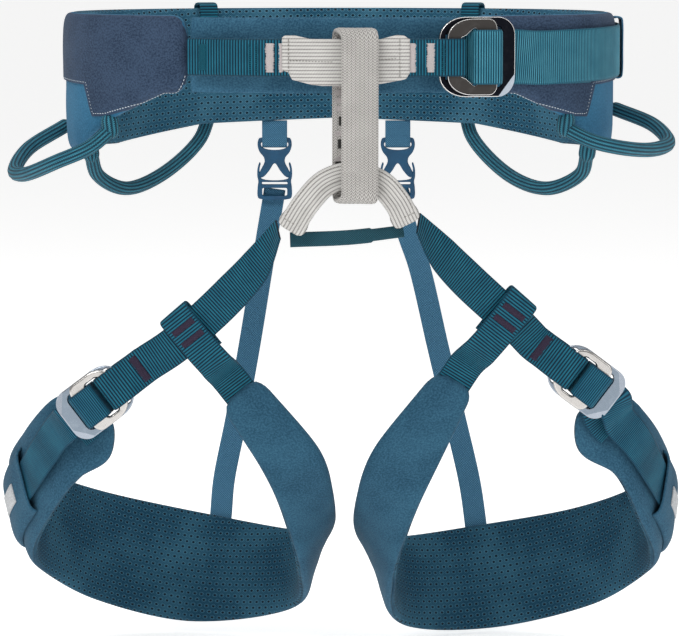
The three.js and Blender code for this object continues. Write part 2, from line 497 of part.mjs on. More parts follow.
for (const [name, leg] of Object.entries(LEGS)) {
  const top = new THREE.CatmullRomCurve3(leg.pad.top.map((p) => V(...p)), false, 'centripetal');
  const low = new THREE.CatmullRomCurve3(leg.pad.low.map((p) => V(...p)), false, 'centripetal');
  const mid = (u) => top.getPoint(u).add(low.getPoint(u)).multiplyScalar(0.5);
  // Frame on the pad's outer face at u along it; h is half the pad's width there.
  const padFrame = (u) => {
    const w = top.getPoint(u).sub(low.getPoint(u));
    const h = w.length() / 2;
    w.normalize();
    const t = mid(Math.min(u + 0.01, 1)).sub(mid(Math.max(u - 0.01, 0))).normalize();
    const n = V().crossVectors(t, w).normalize();
    const p = mid(u);
    if (n.dot(p.clone().sub(leg.centre)) < 0) n.negate();
    return { p, w, n, h, u };
  };
  const padPoint = (u, v, off) => {
    const f = padFrame(u);
    return f.p.addScaledVector(f.w, v * f.h).addScaledVector(f.n, off);
  };
  const padFrames = range(0, 1, 45).map(padFrame);
  const layer = (part, [from, to], material, inset) => {
    const frames = inset ? padFrames.slice(1, -1) : padFrames;
    const outline = ({ h }) => {
      const a = h - inset;
      return [[-a, from], [-a / 2, from], [a / 2, from], [a, from], [a, to], [a / 2, to], [-a / 2, to],
        [-a, to]];
    };
    add(`leg_${part}_${name}`, sweep(frames, outline), material);
  };
  layer('shell', PAD_LAYERS.shell, 'fabric', 0);
  layer('foam', PAD_LAYERS.foam, 'foam', 1.5);
  layer('lining', PAD_LAYERS.lining, 'mesh', 0);

  const axes = buckleAxes(leg.buckle, leg.pull, V(0, -1, 0));
  buckle(`leg_buckle_${name}`, axes, LEG_BUCKLE, 'silver', 'slate');

  // Strap from the lower tie-in point, folded round the near bars of the leg buckle.
  const upper = leg.strap.map(([x, y, z]) => V(x, y, z));
  const upperW = leg.strap.map(([, , , x, y, z]) => V(x, y, z));
  const across = axes.c.clone().multiplyScalar(axes.c.dot(upperW[4]) > 0 ? 1 : -1);
  const eye = [[-17, 0.1], [-11, 0.3], ...EYE_OVER, ...EYE_UNDER].map(([s, h]) => axes.at(s, h));
  add(`leg_strap_${name}`, ribbon([...upper, ...eye], [...upperW, ...eye.map(() => across)], LEG_WEB_HALF),
    'webbing');

  // Branch strap: folded round the leg strap and sewn to the inner end of the pad.
  const run = V(...leg.strap[4].slice(0, 3)).sub(V(...leg.strap[3].slice(0, 3))).normalize();
  const out = V().crossVectors(leg.branch, run).normalize();
  if (out.y > 0) out.negate();
  const atJoint = (b, h) => leg.joint.clone().addScaledVector(leg.branch, b).addScaledVector(out, h);
  const turn = [[16, -2.6], [8, -2.6], [-11.6, -2.6], [-13.5, -1.7], [-14.2, 0], [-13.5, 1.7], [-11.6, 2.6],
    [6, 2.6], [13, 2.4], [24, 0.4]];
  const start = padFrame(0);
  const t0 = mid(0.01).sub(mid(0)).normalize();
  const reach = [[-11, -2.2], [-0.6, -4.2]].map(([a, b]) => start.p.clone().addScaledVector(t0,
    a).addScaledVector(start.n, b));
  const endW = start.w.clone().multiplyScalar(start.w.dot(run) > 0 ? 1 : -1);
  const branchPoints = [...turn.map(([b, h]) => atJoint(b, h)), ...reach];
  const branchAcross = branchPoints.map((_, i) => (i < turn.length ? run : endW));
  add(`leg_branch_${name}`, ribbon(branchPoints, branchAcross, 9.8), 'webbing');

  // Adjusting strap: sewn on the outer wing, through the buckle, its tail back along the wing.
  const sign = padFrame(0.9).w.dot(axes.c) > 0 ? 1 : -1;
  const wing = (list) => list.map(([u, off, across = 0]) => {
    const f = padFrame(u);
    return { p: f.p.addScaledVector(f.n, off).addScaledVector(f.w, across), w: f.w.multiplyScalar(sign) };
  });
  const middle = [[26, -6.6], ...adjustPath(LEG_BUCKLE, 39)].map(([s, h]) => ({ p: axes.at(s, h),
    w: axes.c.clone() }));
  const stations = [...wing([[0.9, 1.6], [0.94, 1.7], [0.975, 2.4]]), ...middle, ...wing(leg.tail)];
  add(`leg_adjust_${name}`, ribbon(stations.map((s) => s.p), stations.map((s) => s.w), 10.2, 1.5),
    'webbing');

  // Pocket for the tail, with a plain label on it.
  add(`leg_pocket_${name}`, sweep(range(0.735, 0.63, 9).map(padFrame), bridge(-18, 18, 1.1, 4.1)),
    'fabric');
  const tag = sweep(range(0.713, 0.683, 3).map(padFrame), () => [[-5, 5.6], [5, 5.6], [5, 6.4], [-5, 6.4]]);
  add(`leg_label_${name}`, tag, 'label');

  // ---- rear riser: tab on the belt, hook, frame and elastic ----
  const x = leg.riser;
  const tabPath = [[113.8, -45.8], [113.8, -57], [113, -60.4], [111, -61.6], [109, -60.4], [108.2, -57],
    [108.2, -45.8]];
  add(`riser_tab_${name}`, ribbon(tabPath.map(([y, z]) => V(x, y, z)), V(1, 0, 0), 7.6, 1.3), 'elastic');
  const back = { o: V(x, 111, 0), x: V(1, 0, 0), y: V(0, 0, 1), z: V(0, -1, 0) };
  const hook = [[-10, -56.4], [-10, -64.6], [-5.6, -66.6], [-9.2, -73.6], [-10, -79.8], [-6.4, -80.4],
    [0, -72.4],
    [6.4, -80.4], [10, -79.8], [9.2, -73.6], [5.6, -66.6], [10, -64.6], [10, -56.4]];
  const slot = [[-8.4, -59], [-8.4, -63.2], [8.4, -63.2], [8.4, -59]];
  add(`riser_hook_${name}`, plate(hook, [slot], back, -1.6, 1.6, 0.4), 'clip');
  const clip = cutRect(-10, 10, -93.4, -81.8, 1);
  const gap = [[-7.6, -84.8], [7.6, -84.8], [7.6, -83.2], [-7.6, -83.2]];
  const grip = [[-7.6, -91.6], [7.6, -91.6], [7.6, -87], [-7.6, -87]];
  add(`riser_clip_${name}`, plate(clip, [gap, grip], back, -2, 2, 0.4), 'clip');

  const seam = leg.side < 0 ? 0.405 : 0.414;
  const lower = leg.elastic.map(([ex, ey, ez]) => V(ex, ey, ez));
  const foot = [padPoint(seam, 0.96, 2.6), padPoint(seam, 0.7, 1.6), padPoint(seam, 0.4, 1.5)];
  lower[0].y = 114;
  add(`riser_elastic_${name}`, ribbon([...lower, ...foot], V(1, 0, 0), RISER_HALF, 1.4), 'elastic');
}

export default group;
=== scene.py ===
import math

import bmesh
import bpy
import numpy as np
from mathutils import Matrix, Vector, noise


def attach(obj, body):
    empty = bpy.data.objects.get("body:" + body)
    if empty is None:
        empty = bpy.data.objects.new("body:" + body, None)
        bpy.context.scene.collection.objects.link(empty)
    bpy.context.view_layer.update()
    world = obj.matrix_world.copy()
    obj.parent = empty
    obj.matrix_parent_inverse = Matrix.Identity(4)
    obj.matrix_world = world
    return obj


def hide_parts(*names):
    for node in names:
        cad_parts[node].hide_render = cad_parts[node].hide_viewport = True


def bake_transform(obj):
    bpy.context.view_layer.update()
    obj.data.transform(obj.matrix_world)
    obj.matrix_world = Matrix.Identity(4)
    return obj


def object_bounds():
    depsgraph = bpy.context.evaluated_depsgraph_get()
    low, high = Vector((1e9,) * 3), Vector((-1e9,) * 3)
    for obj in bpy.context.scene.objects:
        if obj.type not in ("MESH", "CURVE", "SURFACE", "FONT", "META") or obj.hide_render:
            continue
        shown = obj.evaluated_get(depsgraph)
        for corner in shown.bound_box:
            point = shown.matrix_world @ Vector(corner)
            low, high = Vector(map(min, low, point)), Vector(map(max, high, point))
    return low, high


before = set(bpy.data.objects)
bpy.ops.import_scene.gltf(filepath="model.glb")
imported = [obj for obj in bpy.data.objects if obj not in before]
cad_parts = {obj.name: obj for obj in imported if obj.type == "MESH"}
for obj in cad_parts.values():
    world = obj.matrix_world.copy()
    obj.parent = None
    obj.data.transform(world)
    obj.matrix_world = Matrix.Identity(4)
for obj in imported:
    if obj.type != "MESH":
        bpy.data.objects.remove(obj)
cad_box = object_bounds()

MM = 0.001
RNG = np.random.default_rng(7)
LENS_MM, SENSOR_MM = 182.8, 36
CAMERA_TILT, CAMERA_FAR = 6, 2  # degrees down, metres from the target
CAMERA_TARGET = Vector((0, 0, -0.155))
MIDDLE = (0, 0, -0.16)  # where the lights aim
FLOOR_DROP = 0.002


# ---------------------------------------------------------------- camera, lights and floor
def make_camera():
    tilt = math.radians(CAMERA_TILT)
    data = bpy.data.cameras.new("camera")
    data.sensor_width = SENSOR_MM
    data.lens = LENS_MM
    data.clip_end = 500
    camera = bpy.data.objects.new("camera", data)
    camera.location = CAMERA_TARGET + CAMERA_FAR * Vector((0, -math.cos(tilt), math.sin(tilt)))
    camera.rotation_euler = (math.pi / 2 - tilt, 0, 0)
    bpy.context.scene.collection.objects.link(camera)
    bpy.context.scene.camera = camera


def softbox(name, place, size, power):
    data = bpy.data.lights.new(name, "AREA")
    data.shape = "RECTANGLE"
    data.size, data.size_y = size
    data.energy = power
    light = bpy.data.objects.new(name, data)
    light.location = place
    light.rotation_euler = (Vector(MIDDLE) - Vector(place)).to_track_quat("-Z", "Y").to_euler()
    bpy.context.scene.collection.objects.link(light)


def make_stage():
    world = bpy.data.worlds.new("studio")
    world.use_nodes = True
    sky = world.node_tree.nodes["Background"].inputs
    sky["Color"].default_value = (1, 1, 1, 1)
    sky["Strength"].default_value = 0.42
    bpy.context.scene.world = world
    bpy.context.scene.view_settings.view_transform = "Standard"
    softbox("key", (-0.9, -1.5, 1.5), (1.2, 0.9), 25)
    softbox("fill", (1.5, -1.2, 0.5), (0.9, 1.2), 6)
    softbox("top", (0.1, 0.5, 1.7), (1.6, 1.2), 13)
    mesh = bpy.data.meshes.new("floor")
    z = cad_box[0].z - FLOOR_DROP
    mesh.from_pydata([(-90, -60, z), (90, -60, z), (90, 120, z), (-90, 120, z)], [], [(0, 1, 2, 3)])
    floor = bpy.data.objects.new("floor", mesh)
    bpy.context.scene.collection.objects.link(floor)
    paper = Nodes("floor_paper")
    grain = paper.noise(paper.object_space(), 900, 2)
    paper.finish(paper.mix(grain, rgb(244, 244, 243), rgb(250, 250, 250)), 0.9, grain, 0.0001,
                 emission_color=(1, 1, 1, 1), emission_strength=0.52)
    floor.data.materials.append(paper.material)


# ---------------------------------------------------------------- materials
def rgb(r, g, b):
    """Linear colour from display values 0 to 255."""
    parts = [c / 255 for c in (r, g, b)]
    return tuple(c / 12.92 if c <= 0.04045 else ((c + 0.055) / 1.055) ** 2.4 for c in parts) + (1.0,)


class Nodes:
    """Writes one material's node tree. Pattern lengths are in millimetres of the UV map named Map."""

    def __init__(self, name):
        self.material = bpy.data.materials.new(name)
        self.material.use_nodes = True
        self.tree = self.material.node_tree
        self.tree.nodes.clear()

    def add(self, kind, inputs=None, **settings):
        node = self.tree.nodes.new(kind)
        for key, value in settings.items():
            setattr(node, key, value)
        for key, value in (inputs or {}).items():
            if isinstance(value, bpy.types.NodeSocket):
                self.tree.links.new(value, node.inputs[key])
            else:
                node.inputs[key].default_value = value
        return node

    def math(self, operation, *values, clamp=False):
        inputs = dict(enumerate(values))
        return self.add("ShaderNodeMath", inputs, operation=operation, use_clamp=clamp).outputs[0]

    def times(self, a, b):
        return self.math("MULTIPLY", a, b)

    def plus(self, a, b):
        return self.math("ADD", a, b)

    def step(self, value, low, high):
        """0 below low, 1 above high, smooth between."""
        node = self.add("ShaderNodeMapRange", {0: value, 1: low, 2: high, 3: 0.0, 4: 1.0},
                        interpolation_type="SMOOTHSTEP")
        return node.outputs[0]

    def mix(self, factor, a, b):
        node = self.add("ShaderNodeMix", {0: factor, 6: a, 7: b}, data_type="RGBA")
        return node.outputs[2]

    def uv(self):
        node = self.add("ShaderNodeUVMap", uv_map="Map")
        parts = self.add("ShaderNodeSeparateXYZ", {0: node.outputs[0]})
        return parts.outputs[0], parts.outputs[1], node.outputs[0]

    def object_space(self):
        return self.add("ShaderNodeTexCoord").outputs["Object"]

    def noise(self, where, scale, detail=3, rough=0.5):
        inputs = {"Vector": where, "Scale": scale, "Detail": detail, "Roughness": rough}
        return self.add("ShaderNodeTexNoise", inputs).outputs[0]

    def wave(self, value, pitch, phase=0.0):
        """0 to 1 to 0 over one pitch."""
        turn = self.math("MULTIPLY_ADD", value, 2 * math.pi / pitch, phase)
        return self.math("MULTIPLY_ADD", self.math("COSINE", turn), -0.5, 0.5)

    def finish(self, color, roughness, height, depth, **sockets):
        bump = self.add("ShaderNodeBump", {"Height": height, "Distance": depth, "Strength": 1.0})
        inputs = {"Base Color": color, "Roughness": roughness, "Normal": bump.outputs[0]}
        inputs.update({key.replace("_", " ").title().replace("Ior", "IOR"): value
                       for key, value in sockets.items()})
        shader = self.add("ShaderNodeBsdfPrincipled", inputs)
        out = self.add("ShaderNodeOutputMaterial")
        self.tree.links.new(shader.outputs[0], out.inputs[0])
        return self.material


def webbing(name, half, dark, middle, light, pitch):
    """Ribbed webbing: ribs across the strap, threads wrapped over them, a plain selvedge, with painted shade in
    the grooves between ribs and a painted highlight on the rib crests.
    """
    m = Nodes(name)
    u, v, where = m.uv()
    rib = m.wave(u, pitch)
    row = m.math("FLOOR", m.times(u, 1 / pitch))
    turn = m.math("MULTIPLY_ADD", row, math.pi, m.times(v, 2 * math.pi / 0.62))
    thread = m.math("MULTIPLY_ADD", m.math("SINE", turn), 0.5, 0.5)
    patch = m.noise(where, 0.09, 3)
    fibre = m.noise(where, 2.6, 2)
    # painted shade: the rib grooves go towards the dark colour
    body = m.mix(m.step(rib, 0.04, 0.62), dark, middle)
    # painted highlight on the rib crests, stronger along the threads and in random patches
    painted_rib_highlight = m.times(m.math("POWER", rib, 2.0), m.math("MULTIPLY_ADD", thread, 0.55, 0.28))
    body = m.mix(m.times(painted_rib_highlight, m.math("MULTIPLY_ADD", patch, 1.1, 0.1)), body, light)
    edge = m.step(m.math("ABSOLUTE", v), half - 1.1, half - 0.5)
    selvedge = m.mix(m.wave(u, 0.9), dark, middle)
    color = m.mix(m.times(edge, 0.75), body, selvedge)
    color = m.mix(m.times(fibre, 0.25), color, dark)
    height = m.plus(m.times(thread, 0.45), m.times(fibre, 0.35))
    return m.finish(color, m.math("MULTIPLY_ADD", fibre, 0.2, 0.5), height, 0.00012,
                    sheen_weight=0.03, specular_ior_level=0.16)


def cloth(name, dark, light, pitch=0.55, slub=0.0, patches=0.035, depth=0.00007, sheen=0.04):
    """Plain woven shell fabric with a faint melange."""
    m = Nodes(name)
    u, v, where = m.uv()
    warp, weft = m.wave(u, pitch), m.wave(v, pitch)
    over = m.wave(m.plus(u, v), pitch * 2)
    weave = m.plus(m.times(warp, over), m.times(weft, m.math("SUBTRACT", 1.0, over)))
    broad = m.noise(where, patches, 4, 0.6)
    grain = m.noise(where, 0.9, 3, 0.7)
    tone = m.plus(m.times(m.step(broad, 0.3, 0.7), 0.3), m.times(m.step(grain, 0.34, 0.68), 0.6 + slub))
    tone = m.math("MULTIPLY_ADD", weave, 0.2, tone, clamp=True)
    color = m.mix(tone, dark, light)
    height = m.plus(weave, m.times(grain, 0.8))
    return m.finish(color, m.math("MULTIPLY_ADD", grain, 0.15, 0.68), height, depth,
                    sheen_weight=sheen, sheen_roughness=0.45, specular_ior_level=0.12)


MESH_PITCH = (4.3, 3.4)


def spacer_mesh(name, dark, middle, light):
    """Knitted spacer mesh: staggered rows of small holes between slanted ridges, with painted shade in the
    holes and a painted highlight on the rims round them.
    """
    m = Nodes(name)
    u, v, where = m.uv()
    row = m.times(v, 1 / MESH_PITCH[1])
    parity = m.math("PINGPONG", m.math("FLOOR", row), 1.0)
    across = m.math("MULTIPLY_ADD", parity, 0.5, m.times(u, 1 / MESH_PITCH[0]))
    x = m.times(m.plus(m.math("FRACT", across), -0.5), MESH_PITCH[0])
    y = m.times(m.plus(m.math("FRACT", row), -0.5), MESH_PITCH[1])
    far = m.math("SQRT", m.plus(m.times(x, x), m.times(m.times(y, y), 1.7)))
    hole = m.step(far, 1.05, 0.55)
    rim = m.math("SUBTRACT", m.step(far, 1.9, 1.15), hole, clamp=True)
    slant = m.plus(u, m.times(v, 1.26))
    counter = m.plus(u, m.times(v, -1.26))
    knit = m.math("MAXIMUM", m.wave(slant, 1.43), m.times(m.wave(counter, 1.43), 0.8))
    fibre = m.noise(where, 2.0, 2)
    broad = m.noise(where, 0.03, 3)
    color = m.mix(m.step(knit, 0.15, 0.95), dark, middle)
    # painted highlight: lighter rims round the holes, on the knit ridges
    color = m.mix(m.times(rim, m.times(knit, 0.55)), color, light)
    color = m.mix(m.times(m.step(broad, 0.35, 0.7), 0.25), color, light)
    color = m.mix(m.times(fibre, 0.3), color, dark)
    # painted shade: the holes filled with a near-black colour
    color = m.mix(m.times(hole, 0.9), color, rgb(5, 14, 26))
    height = m.plus(m.times(knit, 0.4), m.times(hole, -1.6))
    return m.finish(color, 0.8, height, 0.00035, sheen_weight=0.04, specular_ior_level=0.1)


def sleeve_weave(name, dark, light, rib):
    """Coarse light webbing ribbed along its length."""
    m = Nodes(name)
    u, v, where = m.uv()
    ridge = m.wave(v, rib)
    thread = m.wave(m.plus(u, m.times(v, 0.35)), 0.85)
    broad = m.noise(where, 0.08, 3)
    fibre = m.noise(where, 2.2, 3)
    tone = m.plus(m.times(m.step(ridge, 0.0, 0.5), 0.55), m.times(thread, 0.22))
    tone = m.plus(tone, m.times(fibre, 0.35))
    tone = m.math("MULTIPLY_ADD", broad, 0.25, m.plus(tone, -0.14), clamp=True)
    height = m.plus(m.times(ridge, 0.9), m.times(thread, 0.45))
    return m.finish(m.mix(tone, dark, light), 0.7, height, 0.0002, specular_ior_level=0.12)


def chevron_weave(name, dark, light):
    """Dense webbing woven in narrow chevron columns."""
    m = Nodes(name)
    u, v, where = m.uv()
    column = m.math("PINGPONG", v, 1.15)
    tooth = m.wave(m.plus(u, m.times(column, 1.25)), 1.5)
    seam = m.step(m.math("PINGPONG", v, 1.15), 0.0, 0.28)
    fibre = m.noise(where, 2.4, 3)
    broad = m.noise(where, 0.07, 3)
    tone = m.plus(m.times(m.step(tooth, 0.1, 0.8), 0.55), m.times(seam, 0.22))
    tone = m.plus(tone, m.times(fibre, 0.25))
    tone = m.math("MULTIPLY_ADD", broad, 0.25, m.plus(tone, -0.14), clamp=True)
    height = m.plus(tooth, m.times(seam, 0.5))
    return m.finish(m.mix(tone, dark, light), 0.68, height, 0.00022, specular_ior_level=0.12)


def braid(name, dark, middle, light, pitch, cord=0.0):
    """Braided sheath: two crossing sets of slanted threads, over lengthwise cords where cord is their pitch."""
    m = Nodes(name)
    u, v, where = m.uv()
    one = m.wave(m.plus(u, v), pitch)
    two = m.wave(m.plus(u, m.times(v, -1.0)), pitch)
    over = m.math("MAXIMUM", one, m.times(two, 0.85))
    fibre = m.noise(where, 2.2, 2)
    broad = m.noise(where, 0.12, 2)
    color = m.mix(m.step(over, 0.25, 0.9), dark, middle)
    color = m.mix(m.times(m.times(one, two), 0.8), color, light)
    if cord:
        ridge = m.wave(v, cord)
        color = m.mix(m.times(m.step(ridge, 0.6, 1.0), m.math("MULTIPLY_ADD", broad, 1.0, -0.1)), color,
                      light)
        color = m.mix(m.times(m.step(ridge, 0.45, 0.0), 0.85), color, dark)
    color = m.mix(m.times(fibre, 0.25), color, dark)
    return m.finish(color, 0.55, over, 0.00022, sheen_weight=0.03, specular_ior_level=0.2)


TWILL_PITCH = 1.25


def twill(name, dark, light):
    """Elastic with a slanted dotted weave."""
    m = Nodes(name)
    u, v, where = m.uv()
    one = m.wave(m.plus(u, v), TWILL_PITCH)
    two = m.wave(m.plus(u, m.times(v, -1.0)), TWILL_PITCH)
    dots = m.times(one, two)
    fibre = m.noise(where, 1.8, 2)
    tone = m.plus(m.times(m.step(dots, 0.1, 0.75), 0.75), m.times(fibre, 0.3))
    return m.finish(m.mix(tone, dark, light), 0.72, dots, 0.00025, sheen_weight=0.03,
                    specular_ior_level=0.12)


def metal(name, color, worn, roughness, brushed=0.25):
    """Anodised or polished metal with a little wear and fine scratches."""
    m = Nodes(name)
    where = m.object_space()
    stretched = m.add("ShaderNodeMapping", {"Vector": where, "Scale": (1.0, 1.0, 9.0)}).outputs[0]
    scratch = m.noise(stretched, 1400, 3)
    cloud = m.noise(where, 260, 4, 0.6)
    shade = m.mix(m.times(m.step(cloud, 0.45, 0.8), 0.4), color, worn)
    rough = m.math("MULTIPLY_ADD", scratch, brushed, roughness - brushed * 0.5)
    return m.finish(shade, rough, scratch, 0.000012, metallic=1.0)


def plastic(name, dark, light):
    """Moulded plastic with a fine spark-eroded grain."""
    m = Nodes(name)
    where = m.object_space()
    grain = m.noise(where, 2600, 2)
    cloud = m.noise(where, 120, 3)
    return m.finish(m.mix(cloud, dark, light), m.math("MULTIPLY_ADD", grain, 0.18, 0.32), grain, 0.00003,
                    specular_ior_level=0.5)


def yarn(name, dark, light):
    """Sewing thread: two plies twisted together."""
    m = Nodes(name)
    u, v, where = m.uv()
    twist = m.wave(m.plus(u, m.times(v, 1.4)), 0.5)
    fibre = m.noise(where, 3.0, 2)
    return m.finish(m.mix(m.plus(m.times(twist, 0.6), m.times(fibre, 0.4)), dark, light), 0.6, twist,
                    0.00006, specular_ior_level=0.15)


# Webbing colour triples: the first is the dark tone and also the painted shade in the rib grooves, the last is
# a painted highlight for the rib crests.
TEAL = (rgb(0, 24, 40), rgb(0, 70, 94), rgb(46, 148, 170))
TAIL_TEAL = (rgb(0, 30, 50), rgb(20, 104, 128), rgb(120, 200, 216))
RIB = 1.65

# ---------------------------------------------------------------- curves and frames, in millimetres
def lerp(a, b, t):
    return a + (b - a) * t


def ease(x, low, high):
    t = np.clip((np.asarray(x, float) - low) / (high - low), 0, 1)
    return t * t * (3 - 2 * t)


def along(pairs, x):
    return np.interp(x, [p[0] for p in pairs], [p[1] for p in pairs])


def unit(a):
    return a / np.maximum(np.linalg.norm(a, axis=-1, keepdims=True), 1e-12)


def run_length(points):
    """Length along a row of points, from 0."""
    return np.concatenate([[0], np.cumsum(np.linalg.norm(np.diff(points, axis=0), axis=1))])


def sample(x, knots, rows):
    """Rows of coordinates interpolated at x."""
    return np.stack([np.interp(x, knots, rows[:, k]) for k in range(rows.shape[1])], axis=-1)


def crowd(x, power=1.5):
    """Moves stations that run from -1 to 1 towards both ends."""
    return np.sign(x) * (1 - (1 - np.abs(x)) ** power)


def mirrored(half, axis=0):
    """Outline through half's points and then back through their mirror images."""
    flip = (-1, 1) if axis == 0 else (1, -1)
    return half + [(x * flip[0], y * flip[1]) for x, y in reversed(half) if (x, y)[axis] != 0]


def catmull(points, where):
    """Centripetal Catmull-Rom curve through points, at parameters counted in points."""
    p = np.asarray(points, float)
    p = np.vstack([2 * p[0] - p[1], p, 2 * p[-1] - p[-2]])
    i = np.clip(np.floor(where).astype(int), 0, len(p) - 4)
    t = (np.asarray(where, float) - i)[:, None]
    a, b, c, d = p[i], p[i + 1], p[i + 2], p[i + 3]
    gap = [np.maximum(np.linalg.norm(y - x, axis=1) ** 0.5, 1e-4)[:, None] for x,
           y in ((a, b), (b, c), (c, d))]
    m1 = ((b - a) / gap[0] - (c - a) / (gap[0] + gap[1]) + (c - b) / gap[1]) * gap[1]
    m2 = ((c - b) / gap[1] - (d - b) / (gap[1] + gap[2]) + (d - c) / gap[2]) * gap[1]
    return b + m1 * t + (-3 * b + 3 * c - 2 * m1 - m2) * t**2 + (2 * b - 2 * c + m1 + m2) * t**3


WAIST_X, WAIST_Y, WAIST_POWER = 157, 115, 2.2
BELT_LOWER = [(34, -21), (46, -21), (60, -35), (75, -54), (90, -57), (115, -57), (140, -47), (180, -44)]


def belt_point(deg):
    s, c = np.sin(np.radians(deg)), np.cos(np.radians(deg))
    r = (np.abs(s / WAIST_X) ** WAIST_POWER + np.abs(c / WAIST_Y) ** WAIST_POWER) ** (-1 / WAIST_POWER)
    return np.stack([r * s, -r * c, np.zeros_like(r)], axis=-1)


def belt_frame(deg):
    deg = np.asarray(deg, float)
    t = unit(belt_point(deg + 0.5) - belt_point(deg - 0.5))
    n = np.cross(t, [0, 0, 1])
    return belt_point(deg), t, n


def belt_at(deg, off, z):
    p, _, n = belt_frame(deg)
    p = p + n * np.asarray(off, float)[..., None]
    p[..., 2] = z
    return p


def fold(deg):
    return np.abs((np.asarray(deg, float) + 180) % 360 - 180)


def belt_top(deg):
    return lerp(21.5, 22.7, (1 - np.cos(np.radians(deg))) / 2)


def belt_low(deg):
    return along(BELT_LOWER, fold(deg))


def belt_arc(deg):
    """Length round the belt from the front centre to each angle."""
    fine = np.linspace(-180, 360, 5401)
    run = run_length(belt_point(fine))
    return np.interp(deg, fine, run - np.interp(0, fine, run))


# ---------------------------------------------------------------- meshes
def closed_mesh(name, points, faces, corners):
    """A closed mesh with its faces outward; corners holds each face's UVs in millimetres."""
    p = np.asarray(points)
    t = np.asarray([(f[0], f[i], f[i + 1]) for f in faces for i in range(1, len(f) - 1)])
    if np.einsum("ij,ij->i", p[t[:, 0]], np.cross(p[t[:, 1]], p[t[:, 2]])).sum() <= 0:
        faces, corners = ([tuple(reversed(row)) for row in rows] for rows in (faces, corners))
    mesh = bpy.data.meshes.new(name)
    mesh.from_pydata((p * MM).tolist(), [], [tuple(int(x) for x in f) for f in faces])
    layer = mesh.uv_layers.new(name="Map")
    layer.data.foreach_set("uv", np.asarray([x for c in corners for x in c], np.float32).ravel())
    mesh.polygons.foreach_set("use_smooth", [True] * len(mesh.polygons))
    mesh.update()
    obj = bpy.data.objects.new(name, mesh)
    bpy.context.scene.collection.objects.link(obj)
    return obj


def loft(name, rings, uv, closed=False, capped=True):
    """A closed skin over rings of equal size. uv holds one more column than the rings, for the wrap."""
    rings = np.asarray(rings, float)
    count, around = rings.shape[:2]
    index = np.arange(count * around).reshape(count, around)
    faces, corners = [], []
    spans = count if closed else count - 1
    for i in range(spans):
        k = (i + 1) % count
        for j in range(around):
            q = (j + 1) % around
            faces.append((index[i, j], index[i, q], index[k, q], index[k, j]))
            after = uv[i + 1] if i + 1 < len(uv) else uv[k]
            corners.append((uv[i][j], uv[i][j + 1], after[j + 1], after[j]))
    if not closed and capped:
        for i, back in ((0, True), (count - 1, False)):
            for j in range(around // 2 - 1):
                a, b, c, d = j, j + 1, around - 2 - j, around - 1 - j
                face = [(index[i, x], uv[i][x]) for x in ((d, c, b, a) if back else (a, b, c, d))]
                faces.append(tuple(f[0] for f in face))
                corners.append(tuple(f[1] for f in face))
    return closed_mesh(name, rings.reshape(-1, 3), faces, corners)


def around(a):
    """Values across one face, back across the other and on to the start."""
    return np.concatenate([a, a[:, ::-1], a[:, :1]], axis=1)


def sheet(name, outer, inner, u, v):
    """A closed skin between two grids of points, with UVs u and v."""
    u, v = np.broadcast_arrays(u, v)
    rings = np.concatenate([outer, inner[:, ::-1]], axis=1)
    return loft(name, rings, np.stack([around(u), around(v)], axis=-1))


def dress(obj, body, slot, material, *nodes):
    """Puts a piece on its body; a plate brings its own materials, so material is None. slot is not used."""
    if material:
        obj.data.materials.append(material)
    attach(obj, body)
    if nodes:
        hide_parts(*nodes)
    return obj


